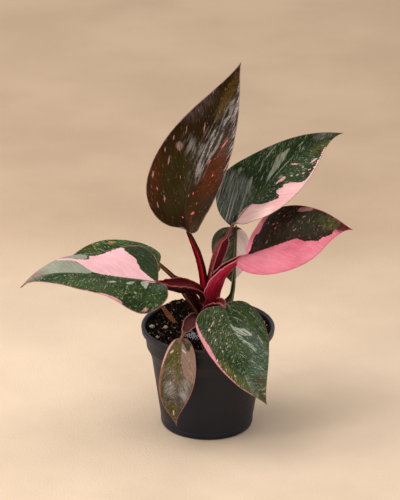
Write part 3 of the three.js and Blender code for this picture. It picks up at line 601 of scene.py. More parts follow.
# Single flecks: along, out, length, width, and lean from the midrib in degrees.
FLECKS = {}
FLECKS["crown"] = dict(
    pink=[(42, 36.5, 5, 1.5, 10), (21, 28, 4, 1.1, 20), (27, 22, 5, 1, 15), (56, 26.5, 6.5, 1.5, 12),
        (86, 22.5, 7, 1, 16), (94, 8.5, 8, 1.2, 20), (128, 15, 4, 0.8, 20), (34, -2, 3, 0.8, 0),
        (63, 33, 4, 1, 20), (33, 30, 3, 1, 30), (47, 12, 3.2, 0.9, 12), (75, 30, 4.4, 1, 14)],
    coral=[(20, -11.5, 6, 2.2, -62), (90, -17.8, 12, 1.2, -8), (60, -23, 2.4, 1.2, 0),
        (37, -7, 2.4, 1.2, 0), (14, 3, 2.4, 1.2, 30), (70, -12, 3, 0.9, -20), (30, -16, 2.4, 1, -30)],
)
FLECKS["upper_right"] = dict(
    pale=[(68, 3, 28, 1, 5), (69, 21, 15, 1.2, 9), (54, 17, 9, 1, 16), (60, -2.6, 5, 2, -20),
        (48, 10, 5, 0.9, 20), (92, 9, 8, 0.9, 8), (30, 22, 9, 1, 30), (22, 16, 12, 1, 30)],
    pink=[(77, -3, 7, 1.4, -50), (91, -13.5, 8, 1.5, 0), (72, -15, 2.6, 1, -20),
        (77, -18, 2.6, 1.1, -20), (83, -19, 2.6, 1, -20), (88, -20, 3, 1, -10), (80, -12, 2, 0.9, -20),
        (68, -11, 2.4, 0.9, -40)],
)
FLECKS["right"] = dict(
    coral=[(32, 23, 2.4, 1.3, 30), (36, 22, 2.4, 1.2, 30), (33, 18, 2.6, 1, 30), (44, 26, 2.6, 1, 30),
        (26, 27, 2.2, 1, 40), (40, 31, 2, 0.9, 20)],
    pale=[(50, 9, 3, 1, 20), (61, 18, 3.4, 1, 20), (22, 8, 4, 0.9, 50), (72, 6, 3, 0.8, 20)],
    rose=[(40, -20, 12, 1.2, -40), (60, -22, 10, 1, -30)],
)
FLECKS["rear"] = dict(
    pale=[(18, 10, 12, 1.1, 40), (28, 9, 12, 0.9, 36), (38, 10, 10, 1, 30), (12, 5, 8, 0.9, 44)],
)
FLECKS["left"] = dict(
    pale=[(25, 24.5, 2.6, 2, 60), (33, 23, 2.6, 1.8, 50), (40, 26, 2.4, 1.6, 50), (84, 18, 4, 1, 60),
        (80, 15, 3, 0.8, 60), (30, 14, 8, 1, 76), (52, 20, 9, 1, 64), (60, 9, 8, 0.9, 60),
        (70, 12, 7, 0.9, 58), (93, 8, 8, 0.8, 30)],
    pink=[(58, 31, 4, 1.2, 10), (70, 27, 3, 1, 0)],
)
FLECKS["left_rear"] = dict(
    pale=[(30, -10, 8, 1, -40), (50, -14, 9, 1, -30), (60, 8, 10, 1, 30)],
)
FLECKS["front"] = dict(
    pale=[(36, 25.5, 12, 1.2, 14), (70, -3.5, 9, 0.7, -2), (56, 10, 9, 0.9, 24), (48, 3, 7, 0.8, 30),
        (64, 14, 8, 0.9, 20), (12, 8, 6, 1, 60)],
    pink=[(14, -17, 3.4, 1.2, -50), (16.5, -19.5, 2.6, 1, -40), (20, -23, 3, 1.2, -50),
        (40, -16, 2.2, 1, -40), (46.5, -24, 3, 1.2, -20), (8, -5, 2.2, 1, -60), (62, -13, 2.2, 0.9, -30),
        (30, -20, 2.4, 1, -40), (24, -12, 2, 0.9, -50), (55, -19, 2.2, 0.9, -30), (34, -9, 2, 0.9, -40)],
)
FLECKS["small_front"] = dict(
    pink=[(13, -8, 3.6, 1.8, -40), (68.5, -1, 5.4, 1.3, 0), (42, -6, 2.6, 0.9, -20)],
)


def rounded(outline):
    """A closed outline with its corners cut twice, which rounds them."""
    line = np.array(outline, float)
    for _ in range(2):
        after = np.roll(line, -1, axis=0)
        line = np.stack([0.75 * line + 0.25 * after, 0.25 * line + 0.75 * after], axis=1).reshape(-1, 2)
    return line


def line_distance(places, line):
    """How far flat places are from a closed line of points."""
    edge = np.roll(line, -1, axis=0) - line
    long = np.maximum((edge**2).sum(axis=1), TINY)
    gap = places[:, None] - line[None]
    share = np.clip((gap * edge).sum(axis=2) / long, 0, 1)
    return np.linalg.norm(gap - share[..., None] * edge, axis=2).min(axis=1)


def depth_inside(places, outline):
    """How far flat places lie inside a closed outline. Outside it, the depth is negative."""
    start = rounded(outline)
    edge = np.roll(start, -1, axis=0) - start
    end_out = start[:, 1] + edge[:, 1]
    spans = (start[:, 1] > places[:, 1:]) != (end_out > places[:, 1:])
    rise = np.where(np.abs(edge[:, 1]) < TINY, TINY, edge[:, 1])
    meets = places[:, :1] < edge[:, 0] * (places[:, 1:] - start[:, 1]) / rise + start[:, 0]
    inside = (spans & meets).sum(axis=1) % 2 == 1
    distance = line_distance(places, start)
    return np.where(inside, distance, -distance)


RELIEF = Measures(
    full_half=40,  # the half width of a full-grown blade, whose relief is strongest
    vein_spacing=6.8, vein_depth=0.05, vein_zone=(1, 7), vein_fade=0.6, groove=0.5, groove_half=1.5,
    groove_least=0.4, ridge=1.2, ridge_half=1.9, ridge_tip=0.25, sway=0.55, sway_size=36,
    sway_zone=(0, 14), pucker=0.09, pucker_size=8, pucker_zone=(0, 5), margin_round=0.16, seed_step=11,
)


def blade_relief(blade, flat, outward, seed):
    """How a blade's skins leave its smooth middle: together, the midrib's groove, the ridge below it."""
    out = np.abs(flat[:, 1])
    to_tip = np.clip(flat[:, 0] / blade.length, 0, 1)
    small = blade.shape["left"]["half"] / RELIEF.full_half
    veins = blade.vein_places(flat)
    sway = RELIEF.sway * small * ripples(flat, RELIEF.sway_size, seed)
    sway = sway * eased(out, *RELIEF.sway_zone)
    pucker = RELIEF.pucker * ripples(veins[:, :2], RELIEF.pucker_size, seed + 1)
    pucker = pucker * eased(out, *RELIEF.pucker_zone)
    quilt = RELIEF.vein_depth * np.cos(FULL_TURN * veins[:, 0] / RELIEF.vein_spacing)
    quilt = quilt * eased(out, *RELIEF.vein_zone) * (1 - RELIEF.vein_fade * outward)
    slim = mixed(1, RELIEF.ridge_tip, to_tip) * small
    groove_half = RELIEF.groove_half * slim + RELIEF.groove_least
    groove = RELIEF.groove * slim * np.exp(-((out / groove_half) ** 2))
    ridge = RELIEF.ridge * slim * np.exp(-((out / (RELIEF.ridge_half * slim)) ** 2))
    return sway + pucker + quilt, groove, ridge


def blade_skin(middle, faces, rim, above, below):
    """A closed blade: points above and below its middle, and a rounded rim that joins them."""
    normals = point_normals(middle, faces)
    top = middle + normals * above[:, None]
    bottom = middle + normals * below[:, None]
    rows, centre = BLADE.rows, BLADE.columns
    right, left = rim[1:rows], rim[rows + 1:]
    inward = [1 + centre, *[i + 1 for i in right], rim[rows] - 1 - centre, *[i - 1 for i in left]]
    edge_out = unit(middle[rim] - middle[inward])
    rim_points = (top[rim] + bottom[rim]) / 2 + edge_out * RELIEF.margin_round

    count = len(middle)
    skin = [*faces, *shifted([reversed(face) for face in faces], count)]
    for i, here in enumerate(rim):
        j = (i + 1) % len(rim)
        there = rim[j]
        low, high = 2 * count + i, 2 * count + j
        skin.append((low, high, there, here))
        skin.append((count + here, count + there, high, low))
    return np.concatenate([top, bottom, rim_points]), skin


LEAF_SLOTS = {"crown": "dark_leaf", "right": "pink_leaf", "small_front": "dusky_leaf"}
OTHER_LEAF_SLOT = "green_leaf"


def make_blade(name, material):
    """A blade, with its flat places, its side veins, its margin and its patches as fields."""
    blade = Blade(name)
    flat, outward, faces, rim = blade.sheet()
    middle = blade.bend(flat[:, 0], flat[:, 1])
    body, groove, ridge = blade_relief(blade, flat, outward, RELIEF.seed_step * list(BLADES).index(name))
    half_thick = mixed(BLADE.midrib_thick, BLADE.margin_thick, outward) / 2
    points, skin = blade_skin(middle, faces, rim, half_thick + body - groove, body - half_thick - ridge)

    def spread(values):
        """Values of the sheet's places, given to the upper skin, the lower skin and the rim."""
        return np.concatenate([values, values, values[rim]])

    count = len(flat)
    whole_outline = np.concatenate([blade.outlines[1], blade.outlines[-1][::-1] * (1, -1)])
    fields = {
        "flat": spread(np.concatenate([flat, np.zeros((count, 1))], axis=1)),
        "veins": spread(blade.vein_places(flat)),
        "margin": spread(line_distance(flat, whole_outline)),
        "under": np.concatenate([np.zeros(count), np.ones(count), np.full(len(rim), 0.5)]),
    }
    for patch_name, outlines in PATCHES[name].items():
        depth = np.max([depth_inside(flat, outline) for outline in outlines], axis=0)
        fields["patch_" + patch_name] = spread(depth)
    slot = LEAF_SLOTS.get(name, OTHER_LEAF_SLOT)
    make_piece("leaf_" + name, points, skin, material, slot, ["blade_" + name], **fields)


# ---- stalks and stem

OLD_STALKS = ("rear", "left_rear")
STALK = Measures(
    wing_wall=0.8, least_inside=0.2, outer_points=32, tip_points=5, inner_points=20, steps=78,
    soften=0.35, overrun=2.6, dome=0.985, wing_sway=5, wing_sway_size=9,
    closed_wrap=(120, 142),  # the wings of a stalk that wraps further than this don't sway
    inner_shift=40,  # keeps the patterns of the inside and the outside apart
    seed=300, seed_step=7,
)
STEM_LOOK = Measures(
    steps=90, sides=48, slim=0.97, scar_spacing=11, scar_start=3, scar_width=0.7, scar=0.22,
    wobble=0.12, wobble_lobes=5, wobble_length=4,
)
SCALE_LOOK = Measures(
    steps=64, noise_length=40, ragged=0.24, ragged_size=4, ragged_seed=71, sway=0.12, sway_size=8,
    sway_seed=72,
)


def stations_at(stations, share):
    """The measures of a section at shares of the length, eased from station to station."""
    stops = np.array(stations, float)
    share = np.clip(share, 0, 1)
    after = np.clip(np.searchsorted(stops[:, 0], share), 1, len(stops) - 1)
    low, high = stops[after - 1], stops[after]
    step = eased(share[:, None], low[:, :1], high[:, :1])
    return (low[:, 1:] + (high[:, 1:] - low[:, 1:]) * step).T


def wing_tip(start, end, way):
    """The round edge of a wing, from one corner to the next, bulging the given way."""
    swing = np.radians(np.linspace(-90, 90, STALK.tip_points + 2)[1:-1])[None, :, None]
    middle, arm = (start + end) / 2, (end - start) / 2
    bulge = way * np.linalg.norm(arm, axis=1, keepdims=True)
    return middle[:, None] + arm[:, None] * np.sin(swing) + bulge[:, None] * np.cos(swing)


def groove_sections(half, deep, wrap, floor):
    """Sections of a grooved stalk: round the outside from wing to wing, then back along the groove.

    Gives the corners as (ring, corner, xy), how far round each corner is (-1 to 1), whether it is inside
    (0 to 1), and its distance from the wing's edge.
    """
    wall, least = STALK.wing_wall, STALK.least_inside
    limit = np.radians(wrap)[:, None]
    half, deep, floor = half[:, None], deep[:, None], floor[:, None]
    turn = limit * np.linspace(-1, 1, STALK.outer_points)
    outer = np.stack([half * np.sin(turn), -deep * np.cos(turn)], axis=2)
    back = limit * np.linspace(1, -1, STALK.inner_points)
    bowl = -np.maximum(deep - wall, least) * np.cos(back)
    level = (bowl + floor + np.sqrt((bowl - floor) ** 2 + STALK.soften ** 2)) / 2
    inner = np.stack([np.maximum(half - wall, least) * np.sin(back), level], axis=2)
    left_tip = wing_tip(outer[:, -1], inner[:, 0], unit(outer[:, -1] - outer[:, -2]))
    right_tip = wing_tip(inner[:, -1], outer[:, 0], unit(outer[:, 0] - outer[:, 1]))
    corners = np.concatenate([outer, left_tip, inner, right_tip], axis=1)
    tip = np.ones((len(half), STALK.tip_points))
    around = np.concatenate([turn / limit, tip, back / limit, -tip], axis=1)
    inside = np.concatenate([np.zeros_like(turn), tip / 2, np.ones_like(back), tip / 2], axis=1)
    wing = (1 - np.abs(around)) * limit * (half + deep) / 2
    return corners, around, inside, wing


def make_stalk(name, material):
    stalk = STALKS[name]
    curve = Bend([*stalk["line"], BLADES[name]["midrib"][0]])
    end = 1 + STALK.overrun / curve.length
    share = np.linspace(0, end, STALK.steps)
    half, deep, wrap, floor = stations_at(stalk["stations"], share)
    seed = STALK.seed + STALK.seed_step * list(STALKS).index(name)
    line = (share * curve.length)[:, None]
    open_wing = 1 - eased(wrap, *STALK.closed_wrap)
    wrap = wrap + STALK.wing_sway * ripples(line, STALK.wing_sway_size, seed) * open_wing
    corners, around, inside, wing = groove_sections(half, deep, wrap, floor)
    dome = np.clip((share - 1) / (end - 1), 0, STALK.dome)
    corners = corners * np.sqrt(1 - dome**2)[:, None, None]
    points = curve.sweep(stalk["faces"], share, corners)
    along = np.repeat(line, around.shape[1], axis=1)
    spot = np.stack([along, around * half[:, None] * 2, inside * STALK.inner_shift], axis=2)
    make_piece(
        "petiole_" + name, points.reshape(-1, 3), tube_faces(*around.shape), material,
        "old_stalk" if name in OLD_STALKS else "red_stalk", ["stalk_" + name],
        spot=spot.reshape(-1, 3),
        share=(along / curve.length).ravel(),
        inside=inside.ravel(),
        wing=wing.ravel(),
    )


def make_stem(material):
    """The short stem, with the rings of old leaf scars."""
    look, curve = STEM_LOOK, Bend(STEM.line)
    share = np.linspace(0, 1, look.steps)
    line = share * curve.length
    radius = mixed(STEM.foot, STEM.top, share)
    from_scar = (line + look.scar_start) % look.scar_spacing - look.scar_spacing / 2
    scars = np.exp(-(from_scar**2) / look.scar_width)
    angle = round_turns(look.sides)
    wobble = look.wobble * np.sin(look.wobble_lobes * angle)[None]
    wobble = wobble * np.cos(line / look.wobble_length)[:, None]
    reach = radius[:, None] * look.slim + look.scar * scars[:, None] + wobble
    corners = np.stack([reach * np.cos(angle), reach * np.sin(angle)], axis=2)
    points = curve.sweep([(0, 0), (0, 0)], share, corners).reshape(-1, 3)
    faces = tube_faces(look.steps, look.sides)
    make_piece("main_stem", points, faces, material, "stem", ["stem"], scar=np.repeat(scars, look.sides))


def make_scale(material):
    """A dry papery scale with a ragged, curled-up edge."""
    look, curve = SCALE_LOOK, Bend(SCALE.line)
    share = np.linspace(0, 1, look.steps)
    line = (share * look.noise_length)[:, None]
    inner = np.clip(share, SCALE.blunt, 1 - SCALE.blunt)
    ragged = 1 + look.ragged * ripples(line, look.ragged_size, look.ragged_seed)
    half = SCALE.half * np.sqrt(np.sin(math.pi * inner)) * ragged
    wrap = SCALE.wrap * (1 + look.sway * ripples(line, look.sway_size, look.sway_seed))
    whole = np.ones(look.steps)
    corners, around, inside, wing = groove_sections(half, SCALE.deep * whole, wrap, SCALE.floor * whole)
    points = curve.sweep([SCALE.face, SCALE.face], share, corners)
    along = np.repeat((share * curve.length)[:, None], around.shape[1], axis=1)
    spot = np.stack([along, around * SCALE.half * 2, inside * STALK.inner_shift], axis=2)
    make_piece("fallen_scale", points.reshape(-1, 3), tube_faces(*around.shape), material, "dry_scale",
               ["dry_scale"], spot=spot.reshape(-1, 3), wing=wing.ravel())


# ---- pot

POT_LOOK = Measures(sides=144, longest_step=3.2, bend_steps=5, drain_sides=28)


def turned(rings):
    """Points and faces of a closed turned body. Rings run from its lower pole to its upper one."""
    count, sides = len(rings) - 2, rings.shape[1]
    points = np.concatenate([rings[0, :1], rings[1:-1].reshape(-1, 3), rings[-1, :1]])
    last = 1 + (count - 1) * sides
    faces = shifted(grid_faces(count, sides, closed=True), 1)
    for i in range(sides):
        j = (i + 1) % sides
        faces.append((0, 1 + j, 1 + i))
        faces.append((last + i, last + j, len(points) - 1))
    return points, faces


def softened(corners):
    """A profile with its corners rounded. A corner is (radius, height, how far from it the bend starts)."""
    line = []
    for i, (radius, height, reach) in enumerate(corners):
        here = np.array([radius, height], float)
        if not reach or i in (0, len(corners) - 1):
            line.append(here)
            continue
        before, after = (np.array(corners[k][:2], float) for k in (i - 1, i + 1))
        start = here + unit(before - here) * min(reach, np.linalg.norm(before - here) * 0.49)
        end = here + unit(after - here) * min(reach, np.linalg.norm(after - here) * 0.49)
        for t in np.linspace(0, 1, POT_LOOK.bend_steps + 1):
            line.append((1 - t) ** 2 * start + 2 * t * (1 - t) * here + t**2 * end)
    return np.array(line)


def inner_wall():
    """The pot's inner wall as (radius, height), from the rim down to the floor's corner."""
    wall = POT.wall
    return [
        (POT.collar_top + POT.lip_flare, POT.height),
        (POT.collar_top, POT.height - POT.rim_round),
        (POT.collar_top - wall, POT.rim_bottom - POT.rim_step),
        (POT.collar_bottom - wall, POT.collar_low),
        (POT.body_top - wall, POT.body_high),
        (POT.foot_radius + POT.foot_round - wall, POT.foot_round),
    ]


def pot_profile():
    """The pot's whole section, from under its middle, up the outside, and down the inside."""
    wall, rise, bead = POT.wall, POT.channel_rise, POT.bead
    foot, foot_round = POT.foot_radius, POT.foot_round
    outside = [
        (0, 0, 0),
        (POT.pad_radius, 0, 0.6),
        (POT.channel_inner, rise, 0.6),
        (POT.channel_outer, rise, 0.6),
        (POT.channel_end, 0, 0.6),
        (foot + foot_round * 0.7, 0, 2.4),
        (foot + foot_round, foot_round * 0.9, 0.8),
        (foot + foot_round + bead * 0.2, foot_round * 1.5, 0.4),
        (foot + foot_round - bead * 0.1, foot_round * 1.5 + bead, 0.4),
        (POT.body_top, POT.body_high, 2),
        (POT.collar_bottom - bead, POT.collar_low - bead, 0.4),
        (POT.collar_bottom, POT.collar_low, 0.5),
        (POT.collar_top, POT.rim_bottom - POT.rim_step, 0.5),
        (POT.rim_radius - POT.rim_lean, POT.rim_bottom, 0.5),
        (POT.rim_radius, POT.height - POT.rim_round, 0.6),
        (POT.rim_radius - POT.rim_round * 0.4, POT.height, 0.9),
    ]
    inside = [(radius, height, 0.6) for radius, height in inner_wall()]
    floor = [
        (POT.channel_end + wall / 2, wall, 0.4),
        (POT.channel_outer + wall / 2, rise + wall, 0.4),
        (POT.channel_inner - wall / 2, rise + wall, 0.4),
        (POT.pad_radius - wall / 2, wall, 0.4),
        (0, wall, 0),
    ]
    return softened([*outside, *inside, *floor])


def make_pot(material):
    """The pot, turned from its profile, with the drain holes cut through its floor."""
    profile = pot_profile()
    line = [profile[0]]
    for start, end in zip(profile[:-1], profile[1:]):
        cuts = max(1, math.ceil(np.linalg.norm(end - start) / POT_LOOK.longest_step))
        line += [start + (end - start) * (i + 1) / cuts for i in range(cuts)]
    line = np.array(line)
    angle = round_turns(POT_LOOK.sides)
    radius, height = line[:, :1], np.repeat(line[:, 1:], len(angle), axis=1)
    rings = np.stack([radius * np.cos(angle), radius * np.sin(angle), height], axis=2)
    pot = make_piece("nursery_pot", *turned(rings), material, "pot_plastic", ["pot"])

    drills = add_to_scene("drain_drills", make_mesh("drain_drills", *drain_drills()))
    cut = pot.modifiers.new("drain_holes", "BOOLEAN")
    cut.operation = "DIFFERENCE"
    cut.solver = "EXACT"
    cut.object = drills
    graph = bpy.context.evaluated_depsgraph_get()
    drilled = bpy.data.meshes.new_from_object(pot.evaluated_get(graph))
    pot.modifiers.clear()
    pot.data = drilled
    bpy.data.objects.remove(drills)


def drain_drills():
    """Points and faces of the plugs that cut the holes through the raised ring of the pot's floor."""
    rise, wall, radius = POT.channel_rise, POT.wall, POT.drain_radius
    points, faces = [], []
    for hole in range(POT.drain_count):
        turn = FULL_TURN * (hole + 0.5) / POT.drain_count
        x, y = POT.drain_circle * math.cos(turn), POT.drain_circle * math.sin(turn)
        faces += shifted(tube_faces(2, POT_LOOK.drain_sides), len(points))
        for height in (rise - wall, rise + 2 * wall):
            for angle in round_turns(POT_LOOK.drain_sides):
                points.append((x + radius * math.cos(angle), y + radius * math.sin(angle), height))
    return points, faces


# ---- soil

SOIL_LOOK = Measures(
    rings=104, sides=260, wall_rings=14, clods=Measures(height=0.75, size=6.5, seed=21, octaves=3),
    grit=Measures(height=0.5, size=2.1, seed=22, octaves=2), edge_radius=56, edge_drop=0.8,
    edge_zone=(52.5, 57.5),
    wall_top=1.5,  # how far below its edge the soil leaves the pot's wall
)


def bell(heap, x, y):
    return heap.height * np.exp(-((x - heap.x) ** 2 + (y - heap.y) ** 2) / heap.spread**2)


def soil_height(x, y):
    """The height of the soil's smooth top: its lumps, its heaps and its banks."""
    turn_x = FULL_TURN * x / SOIL.lump_spacing
    turn_y = FULL_TURN * y / SOIL.lump_spacing
    sway, slow_y, slow_x = SOIL.lump_twist
    lumps = np.sin(turn_x + sway * np.sin(slow_y * turn_y)) * np.cos(turn_y + np.sin(slow_x * turn_x))
    heaps = sum(bell(heap, x, y) for heap in (SOIL.heap, SOIL.collar_heap, SOIL.left_bank, SOIL.right_bank))
    return SOIL.level + SOIL.lump * lumps + heaps


def wall_radius(height):
    """The radius that the soil reaches inside the pot at a height."""
    wall = inner_wall()[::-1]
    return np.interp(height, [z for _, z in wall], [r for r, _ in wall]) - SOIL.wall_gap


def ground(x, y):
    """The height of the soil's rough surface."""
    spot = np.stack([x, y], axis=-1).reshape(-1, 2)
    rough = 0
    for bumps in (SOIL_LOOK.clods, SOIL_LOOK.grit):
        rough = rough + bumps.height * ripples(spot, bumps.size, bumps.seed, bumps.octaves)
    edge = eased(np.hypot(x, y), *SOIL_LOOK.edge_zone) * SOIL_LOOK.edge_drop
    return soil_height(x, y) + rough.reshape(x.shape) - edge


def make_soil(material):
    """The soil: up the pot's inside from its floor, and over its rough top to the middle."""
    sides, edge = SOIL_LOOK.sides, SOIL_LOOK.edge_radius
    angle = round_turns(sides)
    ways = np.cos(angle), np.sin(angle)
    edge_z = soil_height(edge * ways[0], edge * ways[1]) - SOIL_LOOK.edge_drop
    edge_r = wall_radius(np.minimum(edge_z, POT.height))
    floor = POT.channel_rise + POT.wall + SOIL.wall_gap

    def pole(z):
        return np.stack([0 * angle, 0 * angle, 0 * angle + z], axis=1)

    rings = [pole(floor)]
    low_z = np.full(sides, floor)
    for step in range(SOIL_LOOK.wall_rings):
        z = mixed(low_z, edge_z - SOIL_LOOK.wall_top, step / (SOIL_LOOK.wall_rings - 1))
        r = np.minimum(wall_radius(z), edge_r)
        rings.append(np.stack([r * ways[0], r * ways[1], z], axis=1))
    for step in range(SOIL_LOOK.rings):
        r = edge_r * (1 - step / SOIL_LOOK.rings)
        x, y = r * ways[0], r * ways[1]
        rings.append(np.stack([x, y, ground(x, y)], axis=1))
    rings.append(pole(ground(np.zeros(1), np.zeros(1))[0]))
    make_piece("potting_soil", *turned(np.array(rings)), material, "potting_mix", ["soil"])


def ball(levels):
    """The corners and faces of a ball of radius 1, made from an icosahedron."""
    golden = (1 + math.sqrt(5)) / 2
    base = [(-1, golden, 0), (1, golden, 0), (-1, -golden, 0), (1, -golden, 0)]
    rolled = [*base, *((z, x, y) for x, y, z in base), *((y, z, x) for x, y, z in base)]
    points = [unit(np.array(corner, float)) for corner in rolled]
    near = 1.2  # its edges are 1.05 long, and the next corners are 1.7 away
    faces = []
    for i, j, k in combinations(range(len(points)), 3):
        a, b, c = points[i], points[j], points[k]
        if max(np.linalg.norm(a - b), np.linalg.norm(b - c), np.linalg.norm(c - a)) < near:
            faces.append((i, j, k) if np.cross(b - a, c - a) @ a > 0 else (i, k, j))
    for _ in range(levels):
        halves, finer = {}, []

        def half(a, b):
            key = (min(a, b), max(a, b))
            if key not in halves:
                halves[key] = len(points)
                points.append(unit(points[a] + points[b]))
            return halves[key]

        for a, b, c in faces:
            ab, bc, ca = half(a, b), half(b, c), half(c, a)
            finer += [(a, ab, ca), (b, bc, ab), (c, ca, bc), (ab, bc, ca)]
        faces = finer
    return np.array(points), faces


def spin(draw):
    """A random turn as a 3x3 matrix."""
    ways, _ = np.linalg.qr(draw.normal(size=(3, 3)))
    return ways * np.sign(np.linalg.det(ways))


STEM_ROOM = Measures(x=-5, y=-2, radius=9)  # where no loose bits lie, round the stem
LOOSE_BITS = Measures(reach=55.5, lump=0.22, lump_size=1.7)
CRUMBS = {
    "soil_crumbs": Measures(
        count=1250, size=(0.55, 1.5), squash=(0.6, 1.0), levels=1, sink=0.45, seed=5, slot="potting_mix",
        rough=0.9, tones=[(0.4, 0.2, 0.1), (0.9, 0.42, 0.2), (2.6, 1.1, 0.4), (16, 8.8, 4)],
    ),
    "bark_bits": Measures(
        count=150, size=(1.4, 2.7), squash=(0.25, 0.6), levels=2, sink=0.3, seed=6, slot="potting_mix",
        rough=0.85, tones=[(1, 0.45, 0.2), (2.4, 1, 0.4), (7, 2.8, 1), (16, 8.5, 3.6)],
    ),
    "pale_grit": Measures(
        count=150, size=(0.4, 0.95), squash=(0.7, 1.0), levels=1, sink=0.2, seed=7, slot="perlite",
        rough=0.9, tones=[(42, 31, 20), (55, 42, 28), (30, 20, 12), (66, 56, 42)],
    ),
}


def make_crumbs(name, material):
    """Loose bits that lie half sunk in the soil, all in one mesh, each with a tone of its own."""
    spec = CRUMBS[name]
    draw = np.random.default_rng(spec.seed)
    shape, shape_faces = ball(spec.levels)
    points, faces, tones = [], [], []
    while len(points) < spec.count:
        reach, angle = LOOSE_BITS.reach * math.sqrt(draw.uniform()), draw.uniform(0, FULL_TURN)
        x, y = reach * math.cos(angle), reach * math.sin(angle)
        if math.hypot(x - STEM_ROOM.x, y - STEM_ROOM.y) < STEM_ROOM.radius:
            continue
        size = mixed(*spec.size, draw.uniform() ** 2)
        girth = size * np.array([1, draw.uniform(*spec.squash), draw.uniform(*spec.squash)])
        lumps = ripples(shape, LOOSE_BITS.lump_size, int(draw.integers(1e6)), 2)
        lumps = 1 + LOOSE_BITS.lump * lumps[:, None]
        corners = (shape * lumps * girth) @ spin(draw).T
        level = ground(np.array([x]), np.array([y]))[0]
        rise = level + np.ptp(corners[:, 2]) / 2 * (1 - 2 * spec.sink)
        faces += shifted(shape_faces, len(shape) * len(points))
        points.append(corners + (x, y, rise))
        tones.append(np.full(len(shape), draw.uniform()))
    make_piece(name, np.concatenate(points), faces, material, spec.slot, tone=np.concatenate(tones))


def make_grain(number, grain, material):
    """A white expanded grain, pitted and cracked."""
    x, y, radius, turn = grain
    shape, faces = ball(GRAIN.levels)
    body = shape * radius
    swell = 1 + GRAIN.skew * np.sin(body @ GRAIN.bumps)
    pits = ripples(shape, GRAIN.pit_size, GRAIN.pit_seed + number, GRAIN.pit_octaves)
    swell = swell * (GRAIN.pit_level + GRAIN.pit * pits)
    body = body * swell[:, None] * (1, 1, GRAIN.squash)
    cos, sin = math.cos(math.radians(turn)), math.sin(math.radians(turn))
    about_z = np.array([[cos, -sin, 0], [sin, cos, 0], [0, 0, 1]])
    rise = soil_height(x, y) + radius * (GRAIN.squash - GRAIN.sink)
    make_piece(f"white_grain_{number}", body @ about_z.T + (x, y, rise), faces, material, "perlite",
               [f"perlite_{number}"])


# ---- netting

NETTING = Measures(
    strands=40, steps=34,
    reach=17,  # how long a strand is: up the plug's side and inwards over its top
    side_high=8, side_start=5.5, inset=0.4,
    twist=0.055,  # how far round a strand turns for each millimetre of its length
    dome=0.9, dome_reach=9, above_soil=0.9, settle_zone=(7, 10), crumple=0.55, crumple_size=7,
    crumple_seed=61, crumple_zone=(4, 10), cross_gap=0.12, strand_radius=0.24, strand_sides=5,
)
OFF_AXIS = (0.3, 0.2, 0.93)  # a way that no strand runs along


def tubes(lines, radius, sides):
    """Points and faces of thin round strands along lines of points."""
    points, faces = [], []
    turn = round_turns(sides)
    for line in lines:
        along = unit(np.gradient(line, axis=0))
        side = unit(np.cross(along, OFF_AXIS))
        other = np.cross(side, along)
        ring = side[:, None] * np.cos(turn)[:, None] + other[:, None] * np.sin(turn)[:, None]
        faces += shifted(tube_faces(len(line), sides), sum(len(strand) for strand in points))
        points.append((line[:, None] + ring * radius).reshape(-1, 3))
    return np.concatenate(points), faces


def make_netting(material):
    """The plug's sleeve: two families of strands that cross, up its side and folded in over its top."""
    net, high = NETTING, NETTING.side_high
    reach = np.linspace(0, net.reach, net.steps)
    over = np.clip(reach - high, 0, None)
    lines = []
    for family in (-1, 1):
        for strand in range(net.strands):
            height = PLUG.bottom + net.side_start + np.minimum(reach, high)
            height = height + net.dome * np.sin(over / net.dome_reach * math.pi)
            radius = PLUG.radius - net.inset - over
            angle = FULL_TURN * strand / net.strands + family * reach * net.twist
            x, y = PLUG.x + radius * np.cos(angle), PLUG.y + radius * np.sin(angle)
            flat = np.stack([x, y], axis=1)
            crumple = net.crumple * ripples(flat, net.crumple_size, net.crumple_seed)
            crumple = crumple * eased(reach, *net.crumple_zone)
            level = np.where(over > 0, ground(x, y) + net.above_soil, height)
            height = mixed(height, np.maximum(level, height), eased(reach, *net.settle_zone))
            lines.append(np.stack([x, y, height + crumple + net.cross_gap * family], axis=1))
    points, faces = tubes(lines, net.strand_radius, net.strand_sides)
    make_piece("plug_sleeve", points, faces, material, "netting", ["plug_netting"])


# ---- wiring of materials

EFFECTS = {}
SOCKETS = {float: "NodeSocketFloat", tuple: "NodeSocketVector"}
PLACE = (0.0, 0.0, 0.0)
NOISE_MIDDLE = (0.5, 0.5, 0.5)


def label(name):
    """The name that a node's socket shows."""
    return name.replace("_", " ").capitalize()


